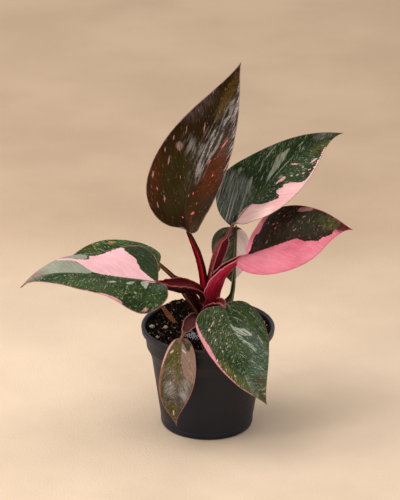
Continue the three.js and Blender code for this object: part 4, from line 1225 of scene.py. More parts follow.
class Wiring:
    """Adds nodes to a node tree and joins them. A value that isn't a socket is set on the node."""

    def __init__(self, tree):
        self.tree = tree

    def add(self, kind, values=None, **settings):
        node = self.tree.nodes.new("ShaderNode" + kind)
        for setting, value in settings.items():
            setattr(node, setting, value)
        for socket, value in (values or {}).items():
            self.feed(node.inputs[socket], value)
        return node

    def feed(self, socket, value):
        if isinstance(value, bpy.types.NodeSocket):
            self.tree.links.new(value, socket)
        elif socket.type == "RGBA":
            socket.default_value = (*(PERCENT * part for part in value), 1)
        else:
            socket.default_value = value

    def math(self, operation, *values):
        return self.add("Math", dict(enumerate(values)), operation=operation).outputs[0]

    def plus(self, value, other):
        return self.math("ADD", value, other)

    def minus(self, value, other):
        return self.math("SUBTRACT", value, other)

    def times(self, value, other):
        return self.math("MULTIPLY", value, other)

    def over(self, value, other):
        return self.math("DIVIDE", value, other)

    def vector(self, operation, *values):
        node = self.add("VectorMath", dict(enumerate(values)), operation=operation)
        return node.outputs["Value" if operation == "DOT_PRODUCT" else "Vector"]

    def stretched(self, place, by):
        return self.vector("MULTIPLY", place, by)

    def mix(self, share, low, high):
        """A colour from low to high."""
        return self.add("Mix", {0: share, 6: low, 7: high}, data_type="RGBA").outputs[2]

    def blend(self, share, low, high):
        """A number from low to high."""
        return self.add("Mix", {0: share, 2: low, 3: high}, data_type="FLOAT").outputs[0]

    def ramp(self, value, low, high, start=0.0, end=1.0):
        """value from low to high, eased to start to end."""
        limits = {0: value, 1: low, 2: high, 3: start, 4: end}
        return self.add("MapRange", limits, interpolation_type="SMOOTHSTEP").outputs[0]

    def field(self, name, vector=False):
        node = self.add("Attribute", attribute_type="GEOMETRY", attribute_name=name)
        return node.outputs["Vector" if vector else "Fac"]

    def parts(self, place):
        """The three numbers of a place."""
        return self.add("SeparateXYZ", {0: place}).outputs

    def noise_node(self, place, scale, detail, rough):
        return self.add("TexNoise", {"Vector": place, "Scale": scale, "Detail": detail, "Roughness": rough})

    def noise(self, place, scale=1.0, detail=3.0, rough=0.5):
        return self.noise_node(place, scale, detail, rough).outputs[0]

    def cells(self, place, scale=1.0):
        return self.add("TexVoronoi", {"Vector": place, "Scale": scale})

    def shaken(self, place, scale, by):
        """A place that noise moves about, each way by up to about half of the given lengths."""
        drift = self.noise_node(place, scale, 3.0, 0.5).outputs["Color"]
        return self.vector("ADD", place, self.stretched(self.vector("SUBTRACT", drift, NOISE_MIDDLE), by))

    def paced(self, veins, width, length):
        """Places by the side veins, in steps of a width across them and a length along them."""
        pace = {"X": self.over(1.0, width), "Y": self.over(1.0, length), "Z": 1.0}
        return self.stretched(veins, self.add("CombineXYZ", pace).outputs[0])

    def use(self, name, **inputs):
        node = self.add("Group", node_tree=EFFECTS[name])
        for socket, value in inputs.items():
            self.feed(node.inputs[label(socket)], value)
        return node.outputs[0]


def effect(output, **inputs):
    """Builds a shader node group from a function that wires it. inputs gives each input's default."""

    def build(wire):
        tree = bpy.data.node_groups.new(wire.__name__, "ShaderNodeTree")
        for name, default in inputs.items():
            kind = SOCKETS[type(default)]
            socket = tree.interface.new_socket(name=label(name), in_out="INPUT", socket_type=kind)
            socket.default_value = default
        tree.interface.new_socket(name=output, in_out="OUTPUT", socket_type="NodeSocketFloat")
        start, end = tree.nodes.new("NodeGroupInput"), tree.nodes.new("NodeGroupOutput")
        sockets = {name: start.outputs[label(name)] for name in inputs}
        w = Wiring(tree)
        w.feed(end.inputs[output], wire(w, **sockets))
        EFFECTS[wire.__name__] = tree
        return wire

    return build


@effect("Noise", veins=PLACE, width=3.0, length=12.0, roughness=0.5)
def drawn_noise(w, veins, width, length, roughness):
    """Cloudy noise drawn out along the side veins."""
    return w.noise(w.paced(veins, width, length), 1.0, 4.0, roughness)


@effect("Mask", depth=0.0, veins=PLACE, tooth=1.0, tooth_width=2.2, tooth_length=9.0, soft=0.4)
def toothed_patch(w, depth, veins, tooth, tooth_width, tooth_length, soft):
    """A patch, from the depth inside its outline. Its edge is toothed along the side veins."""
    coarse = w.use("drawn_noise", veins=veins, width=tooth_width, length=tooth_length, roughness=0.55)
    shift = w.times(w.minus(coarse, 0.5), w.times(tooth, 2.6))
    return w.ramp(w.over(w.plus(depth, shift), soft), -0.5, 0.5)


@effect("Mask", veins=PLACE, width=2.0, length=6.0, share=0.3)
def scattered_specks(w, veins, width, length, share):
    """Specks drawn out along the side veins. share is how many of the cells hold one."""
    cells = w.cells(w.shaken(w.paced(veins, width, length), 1.7, (0.9, 0.9, 0.9)))
    chance = w.add("SeparateColor", {0: cells.outputs["Color"]}).outputs
    clump = w.ramp(w.noise(veins, 0.07, 3.0), 0.36, 0.62, 0.35, 1.6)
    present = w.math("LESS_THAN", chance[0], w.times(share, clump))
    size = w.ramp(w.math("POWER", chance[1], 2.0), 0.0, 1.0, 0.13, 0.46)
    return w.times(w.ramp(w.minus(size, cells.outputs["Distance"]), -0.02, 0.10), present)


@effect("Noise", flat=PLACE, veins=PLACE)
def mottle(w, flat, veins):
    """Crisp small mottling, partly drawn out along the side veins."""
    drawn = w.use("drawn_noise", veins=veins, width=1.2, length=3.6, roughness=0.68)
    return w.plus(w.times(drawn, 0.55), w.times(w.noise(flat, 0.9, 4.0, 0.65), 0.45))


@effect("Mask", place=PLACE, middle=PLACE, along=(1.0, 0.0, 0.0), across=(0.0, 1.0, 0.0), half_length=3.0,
        half_width=1.0)
def single_fleck(w, place, middle, along, across, half_length, half_width):
    """One lens-shaped fleck at a place of its own."""
    gap = w.vector("SUBTRACT", place, middle)
    long = w.over(w.vector("DOT_PRODUCT", gap, along), half_length)
    broad = w.over(w.vector("DOT_PRODUCT", gap, across), half_width)
    squares = [w.math("POWER", w.math("ABSOLUTE", side), 2.0) for side in (long, broad)]
    reach = w.math("SQRT", w.plus(*squares))
    ragged = w.times(w.minus(w.noise(place, 1.1, 3.0, 0.65), 0.5), 2.6)
    return w.ramp(w.plus(reach, ragged), 1.15, 0.75)


@effect("Line", veins=PLACE, spacing=6.8, width=0.5)
def side_veins(w, veins, spacing, width):
    """The side veins as thin lines, strongest near the midrib."""
    from_midrib, out = w.parts(veins)[:2]
    gap = w.math("PINGPONG", w.over(from_midrib, spacing), 0.5)
    return w.times(w.ramp(gap, w.over(width, spacing), 0.0), w.ramp(out, 34.0, 4.0))


@effect("Line", flat=PLACE, length=100.0, width=1.2)
def midrib_line(w, flat, length, width):
    """The midrib's line, which narrows towards the tip."""
    along, out = w.parts(flat)[:2]
    narrowed = w.times(width, w.ramp(w.over(along, length), 1.05, 0.0, 0.25, 1.0))
    return w.ramp(w.over(w.math("ABSOLUTE", out), narrowed), 1.0, 0.45)


@effect("Line", flat=PLACE, margin=0.0, width=0.5)
def margin_line(w, flat, margin, width):
    """The thin line of the margin, uneven in width."""
    uneven = w.times(width, w.ramp(w.noise(flat, 0.16, 3.0), 0.3, 0.7, 0.4, 1.6))
    return w.ramp(w.over(margin, uneven), 1.1, 0.5)


@effect("Height", flat=PLACE, veins=PLACE, skin=0.5, drawn=0.5)
def leaf_grain(w, flat, veins, skin, drawn):
    """The height of a leaf's fine skin, in parts of the bump's distance."""
    lines = w.use("drawn_noise", veins=veins, width=1.3, length=7.0, roughness=0.6)
    return w.plus(w.times(w.noise(flat, 1.9, 4.0, 0.6), skin), w.times(lines, drawn))


@effect("Mask", place=PLACE, cloud_scale=40.0, speck_scale=900.0)
def grime(w, place, cloud_scale, speck_scale):
    """Fine dust and scuffs: patches of small specks."""
    cloud = w.ramp(w.noise(place, cloud_scale, 5.0, 0.6), 0.45, 0.75)
    return w.times(cloud, w.ramp(w.noise(place, speck_scale, 3.0, 0.7), 0.52, 0.7))


class Finish(Wiring):
    """A material with one Principled shader. plain gives values that are the same all over the piece."""

    def __init__(self, name, **plain):
        self.material = bpy.data.materials.new(name)
        self.material.use_nodes = True
        super().__init__(self.material.node_tree)
        self.shader = self.tree.nodes["Principled BSDF"]
        for socket, value in plain.items():
            self.shader.inputs[socket.replace("_", " ")].default_value = value

    def place(self):
        """The place on the piece, in millimetres."""
        return self.stretched(self.add("TexCoord").outputs["Object"], (1 / MILLIMETRE,) * 3)

    def lay(self, colour, rough, height, depth):
        """Joins the colour, the roughness and a bump of a depth in millimetres. Gives the material."""
        bump = self.add("Bump", {"Height": height, "Strength": 1.0, "Distance": depth * MILLIMETRE})
        for socket, value in (("Base Color", colour), ("Roughness", rough), ("Normal", bump.outputs[0])):
            self.feed(self.shader.inputs[socket], value)
        return self.material


# ---- finishes of the leaves

# Layers are laid over the ground colours in order. Each is a function that wires its mask, its low and
# high colours, and the share that it covers the colours below by.


def within(w, name, soft):
    """The inside of an outline of PATCHES, with a soft edge of the given width."""
    return w.ramp(w.field("patch_" + name), -soft / 2, soft / 2)


def patch(name, low, high, tooth, soft, share=1.0, broken=0.0):
    """Fills an outline of PATCHES. A broken patch shows only where drawn-out noise is above that value."""

    def mask(w, leaf, place, veins):
        depth = w.field("patch_" + name)
        inside = w.use("toothed_patch", depth=depth, veins=veins, tooth=tooth, soft=soft)
        if not broken:
            return inside
        drawn = w.use("drawn_noise", veins=veins, width=1.5, length=5.0, roughness=0.6)
        return w.times(inside, w.ramp(drawn, broken - 0.05, broken + 0.07))

    return mask, low, high, share


def rays(name, low, high, width, length, cut, soft, share, by_veins=True):
    """Pale lines inside an outline of PATCHES, along the side veins, where noise is above cut."""

    def mask(w, leaf, place, veins):
        lines = w.use("drawn_noise", veins=veins if by_veins else place, width=width, length=length,
                      roughness=0.55)
        return w.times(w.ramp(lines, cut, cut + 0.12), within(w, name, soft))

    return mask, low, high, share


def painted_gloss_streaks(name, low, high, width, length, cut, soft, share):
    """Painted highlight streaks: like rays, but drawn out along the midrib."""
    return rays(name, low, high, length, width, cut, soft, share, by_veins=False)


def specks(low, high, width, length, amount, name=None, soft=0):
    """Specks scattered over the whole blade, or inside an outline of PATCHES."""

    def mask(w, leaf, place, veins):
        spots = w.use("scattered_specks", veins=veins, width=width, length=length, share=amount)
        return w.times(spots, within(w, name, soft)) if name else spots

    return mask, low, high, 1.0


def flecks(name, low, high, share=1.0):
    """The single flecks of FLECKS of one kind."""

    def mask(w, leaf, place, veins):
        total = None
        for along, out, long, broad, lean in FLECKS[leaf][name]:
            cos, sin = math.cos(math.radians(lean)), math.sin(math.radians(lean))
            fleck = w.use("single_fleck", place=place, middle=(along, out, 0), along=(cos, sin, 0),
                          across=(-sin, cos, 0), half_length=long / 2, half_width=broad / 2)
            total = w.math("MAXIMUM", total, fleck) if total else fleck
        return total

    return mask, low, high, share


LEAF_LOOKS = {}
LEAF_LOOKS["crown"] = dict(
    dark=(1.1, 0.62, 0.1), light=(2.6, 1.15, 0.18), mottle=((0.6, 0.28, 0.06), (5.6, 2, 0.4), 0.6),
    layers=[
        patch("olive", (1.2, 0.9, 0.1), (3.4, 2.2, 0.3), 3, 14, 0.9),
        patch("russet", (3.4, 0.9, 0.12), (8.5, 2.1, 0.3), 5, 12, 0.8, 0.44),
        patch("rust", (3, 0.5, 0.03), (9, 1.6, 0.08), 5, 12, 0.95, 0.43),
        # Grey smoky marbling, partly a painted reflection of soft light.
        patch("smoke", (4, 2.8, 2.4), (10.5, 8, 7.2), 4, 12, 0.75, 0.44),
        # The next two layers are painted highlights: a gloss band beside the midrib, and a gloss streak by
        # the right margin.
        painted_gloss_streaks("sheen", (10, 8.8, 8), (31, 28, 26), 3.2, 22, 0.47, 14, 0.9),
        painted_gloss_streaks("shine", (20, 15, 14.5), (50, 42, 41), 2, 18, 0.47, 3, 0.9),
        patch("gold", (3.6, 2, 0.3), (10.5, 5.8, 0.8), 3, 5, 0.85, 0.44),
        specks((12, 4.5, 2.6), (34, 17, 12), 0.7, 2, 0.15),
        patch("blob", (20, 11, 9.5), (40, 25, 22), 2.2, 2.4, 0.8, 0.42),
        flecks("pink", (30, 10, 8.5), (50, 23, 20), 0.9),
        flecks("coral", (50, 6, 6), (74, 16, 14)),
    ],
    margin=((28, 17.5, 16.5), 0.55, 0.8), midrib=((3.8, 2, 1), 1, 0.6), veins=((5, 2.4, 1.6), 0.35),
    under=((8.5, 1.2, 1.4), 0.85), gloss=0.075, roughness=(0.1, 0.36),
)
LEAF_LOOKS["upper_right"] = dict(
    dark=(0.9, 1.8, 0.6), light=(2.6, 4.8, 1.5), mottle=((0.5, 1, 0.3), (8, 11, 4.5), 0.9),
    layers=[
        patch("frost", (5.2, 7, 6.2), (18, 20.4, 18.2), 4, 10, 0.85, 0.43),
        rays("frost", (24, 26.5, 23), (44, 46, 42), 2.4, 20, 0.51, 8, 0.9),
        patch("olive", (9, 8, 1.5), (13, 12, 3), 2, 6, 0.6, 0.44),
        patch("mauve", (16, 13, 12), (20, 17, 16), 2, 5, 0.6, 0.44),
        specks((10, 13, 8), (26, 30, 22), 1, 4, 0.5),
        specks((22, 25, 15), (42, 44, 30), 0.8, 1.5, 0.4),
        patch("lens", (15, 17, 12), (34, 36, 28), 1.6, 0.8, 1, 0.42),
        flecks("pale", (17, 19, 14), (28, 29, 23), 0.9),
        patch("pink", (61, 29.5, 31), (82, 48, 48.5), 2.2, 0.35),
        patch("cream", (73, 43, 40), (92, 66, 61), 2, 7, 0.85),
        patch("islet", (50, 25, 22), (72, 44, 38), 1, 0.4, 1, 0.34),
        flecks("pink", (60, 28, 23), (78, 50, 42)),
    ],
    margin=((20, 11, 10), 0.42, 0.5), midrib=((4.5, 7, 2.6), 0.9, 0.7), veins=((5, 7, 4), 0.3),
    under=((20, 24, 16), 0.6), gloss=0.07, roughness=(0.3, 0.46),
)
LEAF_LOOKS["right"] = dict(
    dark=(50, 10.5, 15.5), light=(62, 17, 23), mottle=((44, 8, 12.5), (72, 25, 31), 0.6),
    layers=[
        patch("blush", (60, 15, 21), (72, 25, 31), 4, 12, 0.6),
        # Painted light: brighter pink on the left lobe, lifting the shadow of the leaf above.
        patch("lobe", (93, 20, 30), (100, 31, 42), 3, 6, 0.95),
        flecks("rose", (50, 7.5, 13), (62, 12, 19), 0.6),
        patch("dark", (0.8, 0.5, 0.2), (2.4, 1.3, 0.5), 1.6, 0.35),
        patch("olive", (1, 1.3, 0.3), (3, 3.2, 0.8), 5, 12, 0.7, 0.46),
        patch("moss", (3.4, 3.6, 0.8), (9, 8.5, 2.4), 2.4, 5, 0.8, 0.43),
        patch("purple", (2.3, 1, 0.8), (6.6, 2.8, 2.8), 4, 10, 0.6, 0.48),
        specks((5, 4, 1.6), (13, 9.5, 5.5), 1, 4, 0.36, "dark", 2),
        specks((16, 10, 7), (34, 22, 18), 0.8, 2.2, 0.22, "dark", 2),
        patch("ember", (4.5, 0.6, 0.5), (13, 1.8, 1.7), 2, 5, 0.9, 0.4),
        patch("tip", (2.2, 0.7, 0.4), (7, 2, 1.4), 1.4, 2.4, 0.95, 0.38),
        patch("lens", (20, 8, 7.5), (34, 16, 15), 1, 0.9, 0.9, 0.36),
        flecks("pale", (17, 11, 9), (30, 20, 18), 0.9),
        flecks("coral", (52, 10, 8), (75, 24, 20)),
    ],
    margin=((50, 5, 11), 0.45, 0.6), midrib=((30, 5, 7), 0.8, 0.15), veins=((50, 9, 14), 0.16),
    under=((80, 40, 42), 0.5), gloss=0.07, roughness=(0.34, 0.5),
)
LEAF_LOOKS["rear"] = dict(
    dark=(3.6, 5.6, 2.6), light=(12, 15, 9), mottle=((1.8, 3.4, 1.2), (40, 45, 34), 0.9),
    layers=[
        rays("frost", (30, 37, 30), (50, 56, 48), 1.3, 16, 0.5, 6, 0.9),
        patch("pink", (97, 68, 69), (100, 80, 80), 0.9, 0.4),
        flecks("pale", (30, 34, 28), (46, 48, 42)),
    ],
    margin=((30, 17, 16), 0.4, 0.45), midrib=((2.4, 3.6, 1.2), 1.5, 0.95), veins=((12, 14, 8), 0.3),
    under=((14, 17, 12), 0), gloss=0.06, glow=1, roughness=(0.38, 0.52),
)
LEAF_LOOKS["left"] = dict(
    dark=(1, 2.4, 0.5), light=(3.2, 6, 1.6), mottle=((0.6, 1.5, 0.3), (10.5, 15, 4.8), 0.95),
    layers=[
        patch("lime", (3.6, 6.4, 1.6), (7.5, 11, 3.4), 4, 16, 0.5, 0.42),
        specks((8, 13, 4.5), (26, 31, 16), 1.1, 3.4, 0.46),
        specks((22, 25, 14), (42, 43, 31), 0.8, 1.7, 0.28),
        patch("night", (1, 1.8, 0.7), (3.4, 4.6, 2.2), 2, 3, 0.85, 0.42),
        patch("haze", (5, 7, 4.8), (11, 13, 10), 2.6, 4, 0.7, 0.44),
        patch("frost", (20, 21.5, 16.5), (40, 40, 33), 1, 0.5, 0.95, 0.34),
        flecks("pale", (13, 16, 9), (30, 31, 23), 0.75),
        patch("ash", (20, 21.8, 16.8), (30, 30.4, 24.6), 1.4, 0.6),
        patch("dusk", (12, 8.5, 6.5), (25, 18, 15), 3, 12, 0.85, 0.38),
        patch("pink", (65, 34.5, 39), (81, 48.5, 51.5), 1.6, 0.35),
        patch("fringe", (70, 26, 31), (86, 46, 48), 1.2, 0.4, 0.9, 0.36),
        patch("coral", (50, 22, 18), (66, 38, 33), 2.4, 1.2, 0.8, 0.46),
        patch("inlet", (62, 30, 33), (80, 46, 48), 0.6, 0.6),
        flecks("pink", (58, 26, 26), (78, 44, 42)),
    ],
    margin=((46, 14, 18), 0.5, 0.8), midrib=((6, 8.5, 2.8), 1.1, 0.8), veins=((7, 10, 5), 0.3),
    under=((22, 24, 18), 0.6), gloss=0.08, roughness=(0.32, 0.48),
)
LEAF_LOOKS["left_rear"] = dict(
    dark=(0.8, 2.6, 0.4), light=(2.6, 5.4, 1), mottle=((0.4, 1.4, 0.2), (16.5, 22, 4), 1),
    layers=[
        patch("lime", (3.5, 7, 1.2), (9, 12.5, 2.8), 5, 16, 0.4, 0.44),
        specks((17, 23, 5), (44, 48, 16), 1, 2.8, 0.46),
        specks((26, 29, 16), (48, 50, 34), 0.8, 1.5, 0.3),
        flecks("pale", (14, 17, 8), (27, 28, 18), 0.9),
        patch("orange", (34, 17, 7), (58, 32, 17), 3, 1.4, 0.85, 0.46),
    ],
    margin=((30, 14, 10), 0.45, 0.6), midrib=((8, 10, 3), 1, 0.7), veins=((7, 10, 3), 0.3),
    under=((20, 24, 14), 0.6), gloss=0.07, roughness=(0.34, 0.5),
)
LEAF_LOOKS["front"] = dict(
    dark=(1.4, 3.2, 0.8), light=(5.5, 8.4, 3), mottle=((0.9, 2, 0.5), (19, 22, 12.5), 0.95),
    layers=[
        patch("frost", (4.6, 7.4, 5.2), (9, 13, 10), 4, 12, 0.8, 0.42),
        patch("olive", (6, 6.4, 0.9), (15, 14.5, 3), 2.4, 4, 0.8, 0.4),
        patch("ember", (5, 3.4, 1.8), (12, 7.6, 4), 3, 5, 0.7, 0.42),
        patch("smoke", (10, 11.5, 10), (22, 23.5, 21), 2.4, 3, 0.75, 0.42),
        specks((13, 17, 8.5), (34, 38, 25), 1, 4.2, 0.62),
        specks((22, 27, 16), (46, 49, 36), 0.8, 1.5, 0.5),
        patch("lens", (26, 29, 23), (46, 48, 41), 2.2, 0.6, 1, 0.42),
        patch("crack", (32, 35, 28), (50, 52, 45), 2.6, 0.5, 1, 0.46),
        flecks("pale", (20, 23, 16), (36, 38, 29), 0.9),
        patch("fringe", (72, 22, 30), (90, 37, 43), 1.2, 0.4, 1, 0.34),
        specks((60, 40, 32), (84, 64, 54), 1.1, 1.9, 0.3, "salt", 12),
        flecks("pink", (60, 40, 32), (80, 60, 50)),
    ],
    margin=((36, 15, 12), 0.42, 0.5), midrib=((8.5, 12, 5), 0.9, 0.7), veins=((8, 11, 5.5), 0.3),
    under=((22, 26, 16), 0.6), gloss=0.08, roughness=(0.34, 0.5),
)
LEAF_LOOKS["small_front"] = dict(
    dark=(5.6, 4.6, 2.6), light=(16, 12, 8), mottle=((1.8, 1.7, 0.6), (33, 27, 18), 0.95),
    layers=[
        patch("dusk", (7.5, 5.2, 4), (20, 14.5, 12.5), 3, 8, 0.8, 0.42),
        patch("smoke", (17, 16.5, 15.8), (36, 34.5, 33.5), 3, 6, 0.78, 0.42),
        patch("olive", (2.8, 2.6, 0.2), (13.5, 11.5, 1.4), 1.6, 1.2, 0.9, 0.44),
        patch("night", (2.2, 2.4, 1.4), (6, 5.6, 3.4), 2.4, 3, 0.85, 0.42),
        patch("mauve", (17.5, 10.5, 8.2), (32, 20.5, 16.5), 1.8, 0.8, 0.95),
        specks((24, 20, 12), (52, 46, 36), 0.9, 1.5, 0.42),
        specks((1.8, 1.6, 0.5), (4.5, 3.8, 1.4), 1, 1.7, 0.42),
        patch("ember", (22, 8.5, 2), (42, 19, 7), 1.6, 2.4, 0.8, 0.42),
        patch("rim", (52, 24, 27), (72, 42, 43), 0.8, 0.4),
        patch("glint", (34, 32, 29), (50, 48, 44), 0.6, 0.4),
        flecks("pink", (50, 30, 22), (74, 54, 46)),
    ],
    margin=((42, 14, 13), 0.42, 0.75), midrib=((12, 10, 4.5), 0.8, 0.6), veins=((10, 8, 5), 0.15),
    under=((16, 11, 8), 0.6), gloss=0.08, roughness=(0.38, 0.54),
)

THROUGH_LIGHT = {"Subsurface_Radius": (1.6, 1.4, 1.4), "Subsurface_Scale": MILLIMETRE}


def make_leaf_material(name):
    """A blade's skin: its ground, its layers, its veins and margin, and its paler underside."""
    look = LEAF_LOOKS[name]
    glow = {"Subsurface_Weight": look["glow"], **THROUGH_LIGHT} if "glow" in look else {}
    w = Finish("leaf_" + name, Specular_IOR_Level=look["gloss"], **glow)
    flat, veins, under = w.field("flat", vector=True), w.field("veins", vector=True), w.field("under")
    place = w.shaken(flat, 0.55, (1.6, 1.6, 0))

    drawn = w.use("drawn_noise", veins=veins, width=2.4, length=15, roughness=0.6)
    tone = w.ramp(w.plus(w.times(w.noise(flat, 0.045), 0.5), w.times(drawn, 0.5)), 0.36, 0.64)
    fine = w.noise(flat, 0.8, 3, 0.6)
    shade = w.ramp(w.plus(w.times(drawn, 0.6), w.times(fine, 0.4)), 0.32, 0.68)
    colour = w.mix(tone, look["dark"], look["light"])
    crisp = w.use("mottle", flat=flat, veins=veins)
    mottle_low, mottle_high, mottle_share = look["mottle"]
    colour = w.mix(w.ramp(crisp, 0.5, 0.4, 0, mottle_share), colour, mottle_low)
    colour = w.mix(w.ramp(crisp, 0.54, 0.64, 0, mottle_share), colour, mottle_high)
    vein_colour, vein_share = look["veins"]
    line = w.use("side_veins", veins=veins, spacing=RELIEF.vein_spacing, width=0.55)
    colour = w.mix(w.times(line, vein_share), colour, w.mix(0.5, colour, vein_colour))
    for wire_mask, low, high, share in look["layers"]:
        mask = w.times(wire_mask(w, name, place, veins), share)
        colour = w.mix(mask, colour, w.mix(shade, low, high))

    rib_colour, rib_width, rib_share = look["midrib"]
    length = Bend(BLADES[name]["midrib"]).length
    rib = w.use("midrib_line", flat=flat, length=length, width=rib_width)
    colour = w.mix(w.times(rib, rib_share), colour, rib_colour)
    edge_colour, edge_width, edge_share = look["margin"]
    edge = w.use("margin_line", flat=flat, margin=w.field("margin"), width=edge_width)
    colour = w.mix(w.times(edge, edge_share), colour, edge_colour)
    under_colour, under_share = look["under"]
    below = w.mix(under_share, colour, w.mix(shade, tuple(0.75 * c for c in under_colour), under_colour))
    below = w.mix(w.times(line, 0.5), below, w.mix(0.5, below, rib_colour))

    sleek, dull = look["roughness"]
    rough = w.use("drawn_noise", veins=veins, width=1.5, length=12, roughness=0.6)
    rough = w.blend(w.times(under, 0.6), w.ramp(rough, 0.3, 0.7, sleek, dull), 0.55)
    grain = w.use("leaf_grain", flat=flat, veins=veins, skin=0.45, drawn=0.9)
    return w.lay(w.mix(under, colour, below), rough, w.minus(grain, w.times(line, 0.2)), 0.12)


# ---- finishes of the other pieces

# Every stalk: its outside near the stem and near the blade, its inside, its wings' edge and how far that
# reaches in millimetres, and its neck below the blade.
STALK_LOOKS = {
    "crown": Measures(
        low=(8.5, 0.3, 0.6), high=(7, 0.4, 0.7), inside=(50, 0.8, 2.2), edge=(5, 0.3, 0.5),
        edge_width=0.8, neck=(5.5, 0.5, 0.6),
    ),
    "upper_right": Measures(
        low=(22, 1.2, 1.8), high=(30, 2.8, 3.4), inside=(29, 3, 4), edge=(42, 16, 18), edge_width=0.7,
        neck=(3.5, 1, 0.8),
    ),
    "right": Measures(
        low=(22, 0.3, 1.4), high=(42, 0.9, 4), inside=(11, 0.3, 0.7), edge=(62, 22, 24), edge_width=0.5,
        neck=(50, 5, 8),
    ),
    "rear": Measures(
        low=(15, 7.5, 1.6), high=(5, 6, 2.2), inside=(3.4, 3.6, 1.1), edge=(16, 15, 8.5), edge_width=0.8,
        neck=(2.6, 3.8, 1.4),
    ),
    "left": Measures(
        low=(4.5, 0.4, 0.5), high=(2, 0.4, 0.4), inside=(16, 1.6, 1.3), edge=(34, 5.5, 6.5),
        edge_width=0.9, neck=(5, 1.4, 1.2),
    ),
    "left_rear": Measures(
        low=(8.5, 1.2, 1.2), high=(4, 1.2, 0.7), inside=(5, 0.6, 0.7), edge=(20, 7.5, 2.2),
        edge_width=1.4, neck=(9.5, 8, 2.8),
    ),
    "front": Measures(
        low=(8.5, 0.7, 0.9), high=(6, 0.8, 0.9), inside=(10, 1.2, 1.2), edge=(34, 8.5, 9.5),
        edge_width=0.6, neck=(9, 5, 3.5),
    ),
    "small_front": Measures(
        low=(7.5, 0.6, 0.8), high=(10, 1, 1.1), inside=(12.5, 3, 2.4), edge=(38, 17, 14),
        edge_width=0.55, neck=(7, 3, 1.6),
    ),
}


def make_stalk_material(name):
    """A stalk's ribbed skin, with a darker inside, pale wing edges and a neck like its blade's foot."""
    look = STALK_LOOKS[name]
    w = Finish("petiole_" + name, Specular_IOR_Level=0.12)
    spot, share = w.field("spot", vector=True), w.field("share")
    inside, wing = w.field("inside"), w.field("wing")
    ribs = w.noise(w.stretched(spot, (0.05, 0.95, 1)), 1, 3, 0.6)
    cloud = w.noise(w.stretched(spot, (0.07, 0.2, 1)), 1, 3, 0.6)
    outside = w.mix(w.ramp(share, 0.1, 0.75), look.low, look.high)
    dark = w.mix(0.5, outside, (2, 0.2, 0.4))
    outside = w.mix(w.ramp(ribs, 0.35, 0.62), dark, outside)
    pale = w.mix(0.12, outside, look.edge)
    outside = w.mix(w.ramp(cloud, 0.5, 0.72), outside, pale)
    hollow = w.mix(w.ramp(ribs, 0.3, 0.6), tuple(0.5 * c for c in look.inside), look.inside)
    colour = w.mix(inside, outside, hollow)
    wander = w.noise(w.stretched(spot, (0.12, 0, 1)), 1, 2)
    reach = w.times(w.ramp(wander, 0.3, 0.7, 0.5, 1.4), look.edge_width)
    edge = w.times(w.ramp(w.over(wing, reach), 1.1, 0.35), w.ramp(share, 0.97, 0.88))
    colour = w.mix(edge, colour, look.edge)
    neck = w.plus(share, w.times(w.minus(cloud, 0.5), 0.16))
    colour = w.mix(w.ramp(neck, 0.84, 0.98), colour, w.mix(cloud, look.neck, look.edge))
    return w.lay(colour, w.ramp(cloud, 0.3, 0.7, 0.3, 0.46), w.plus(ribs, w.times(cloud, 0.5)), 0.35)


def make_stem_material():
    """The stem's dark red skin, with brown leaf scars."""
    w = Finish("stem_skin")
    place = w.place()
    cloud = w.noise(w.stretched(place, (0.5, 0.5, 0.12)), 1, 4)
    colour = w.mix(w.ramp(cloud, 0.35, 0.7), (5, 0.7, 0.9), (12, 2, 1.8))
    colour = w.mix(w.times(w.field("scar"), 0.7), colour, (13, 7.5, 4.5))
    rough = w.ramp(cloud, 0.3, 0.7, 0.38, 0.6)
    return w.lay(colour, rough, w.plus(cloud, w.times(w.noise(place, 1.4), 0.5)), 0.4)


def make_pot_material():
    """Thin black plastic: satin, faintly pebbled, scuffed, dusty towards the foot, and paler on its rim's top
    from dust and a painted highlight.
    """
    w = Finish("black_plastic", Specular_IOR_Level=0.3)
    place = w.place()
    height = w.parts(place)[2]
    cloud = w.noise(place, 0.035, 4)
    dust = w.use("grime", place=place, cloud_scale=0.05, speck_scale=1.1)
    scratch = w.ramp(w.noise(w.stretched(place, (0.35, 0.35, 2.2)), 1, 4, 0.7), 0.6, 0.72)
    scratch = w.times(scratch, w.ramp(cloud, 0.45, 0.65))
    foot = w.ramp(height, 14, 0)
    # Paler on the rim's top: dust, and a painted highlight of the sky on its upward rounding.
    rim = w.times(w.ramp(height, 93.5, 96.2), w.ramp(w.noise(place, 0.5, 3), 0.45, 0.65))
    colour = w.mix(w.ramp(cloud, 0.3, 0.7), (0.34, 0.5, 1.1), (0.58, 0.8, 1.65))
    colour = w.mix(w.times(dust, w.ramp(foot, 0, 1, 0.1, 0.5)), colour, (20, 15, 11))
    colour = w.mix(w.times(scratch, 0.25), colour, (7, 7, 7.5))
    colour = w.mix(w.times(rim, 0.35), colour, (10, 9, 8))
    rough = w.blend(w.times(dust, 0.5), w.ramp(cloud, 0.3, 0.7, 0.4, 0.52), 0.8)
    pebble = w.noise(place, 1.6, 2)
    ripple = w.noise(w.stretched(place, (0.05, 0.05, 0.16)), 1, 2)
    return w.lay(colour, rough, w.plus(w.times(pebble, 0.06), ripple), 0.5)


def make_soil_material():
    """Damp dark peat with brown fibres."""
    w = Finish("damp_soil", Specular_IOR_Level=0.06)
    place = w.place()
    clods, grit = w.noise(place, 0.35, 5, 0.6), w.noise(place, 1.6, 4, 0.7)
    colour = w.mix(w.ramp(clods, 0.35, 0.7), (0.14, 0.07, 0.04), (0.7, 0.32, 0.15))
    colour = w.mix(w.ramp(grit, 0.62, 0.7), colour, (7.5, 3.4, 1.5))
    return w.lay(colour, w.ramp(grit, 0.3, 0.7, 0.72, 0.95), w.plus(clods, grit), 0.6)


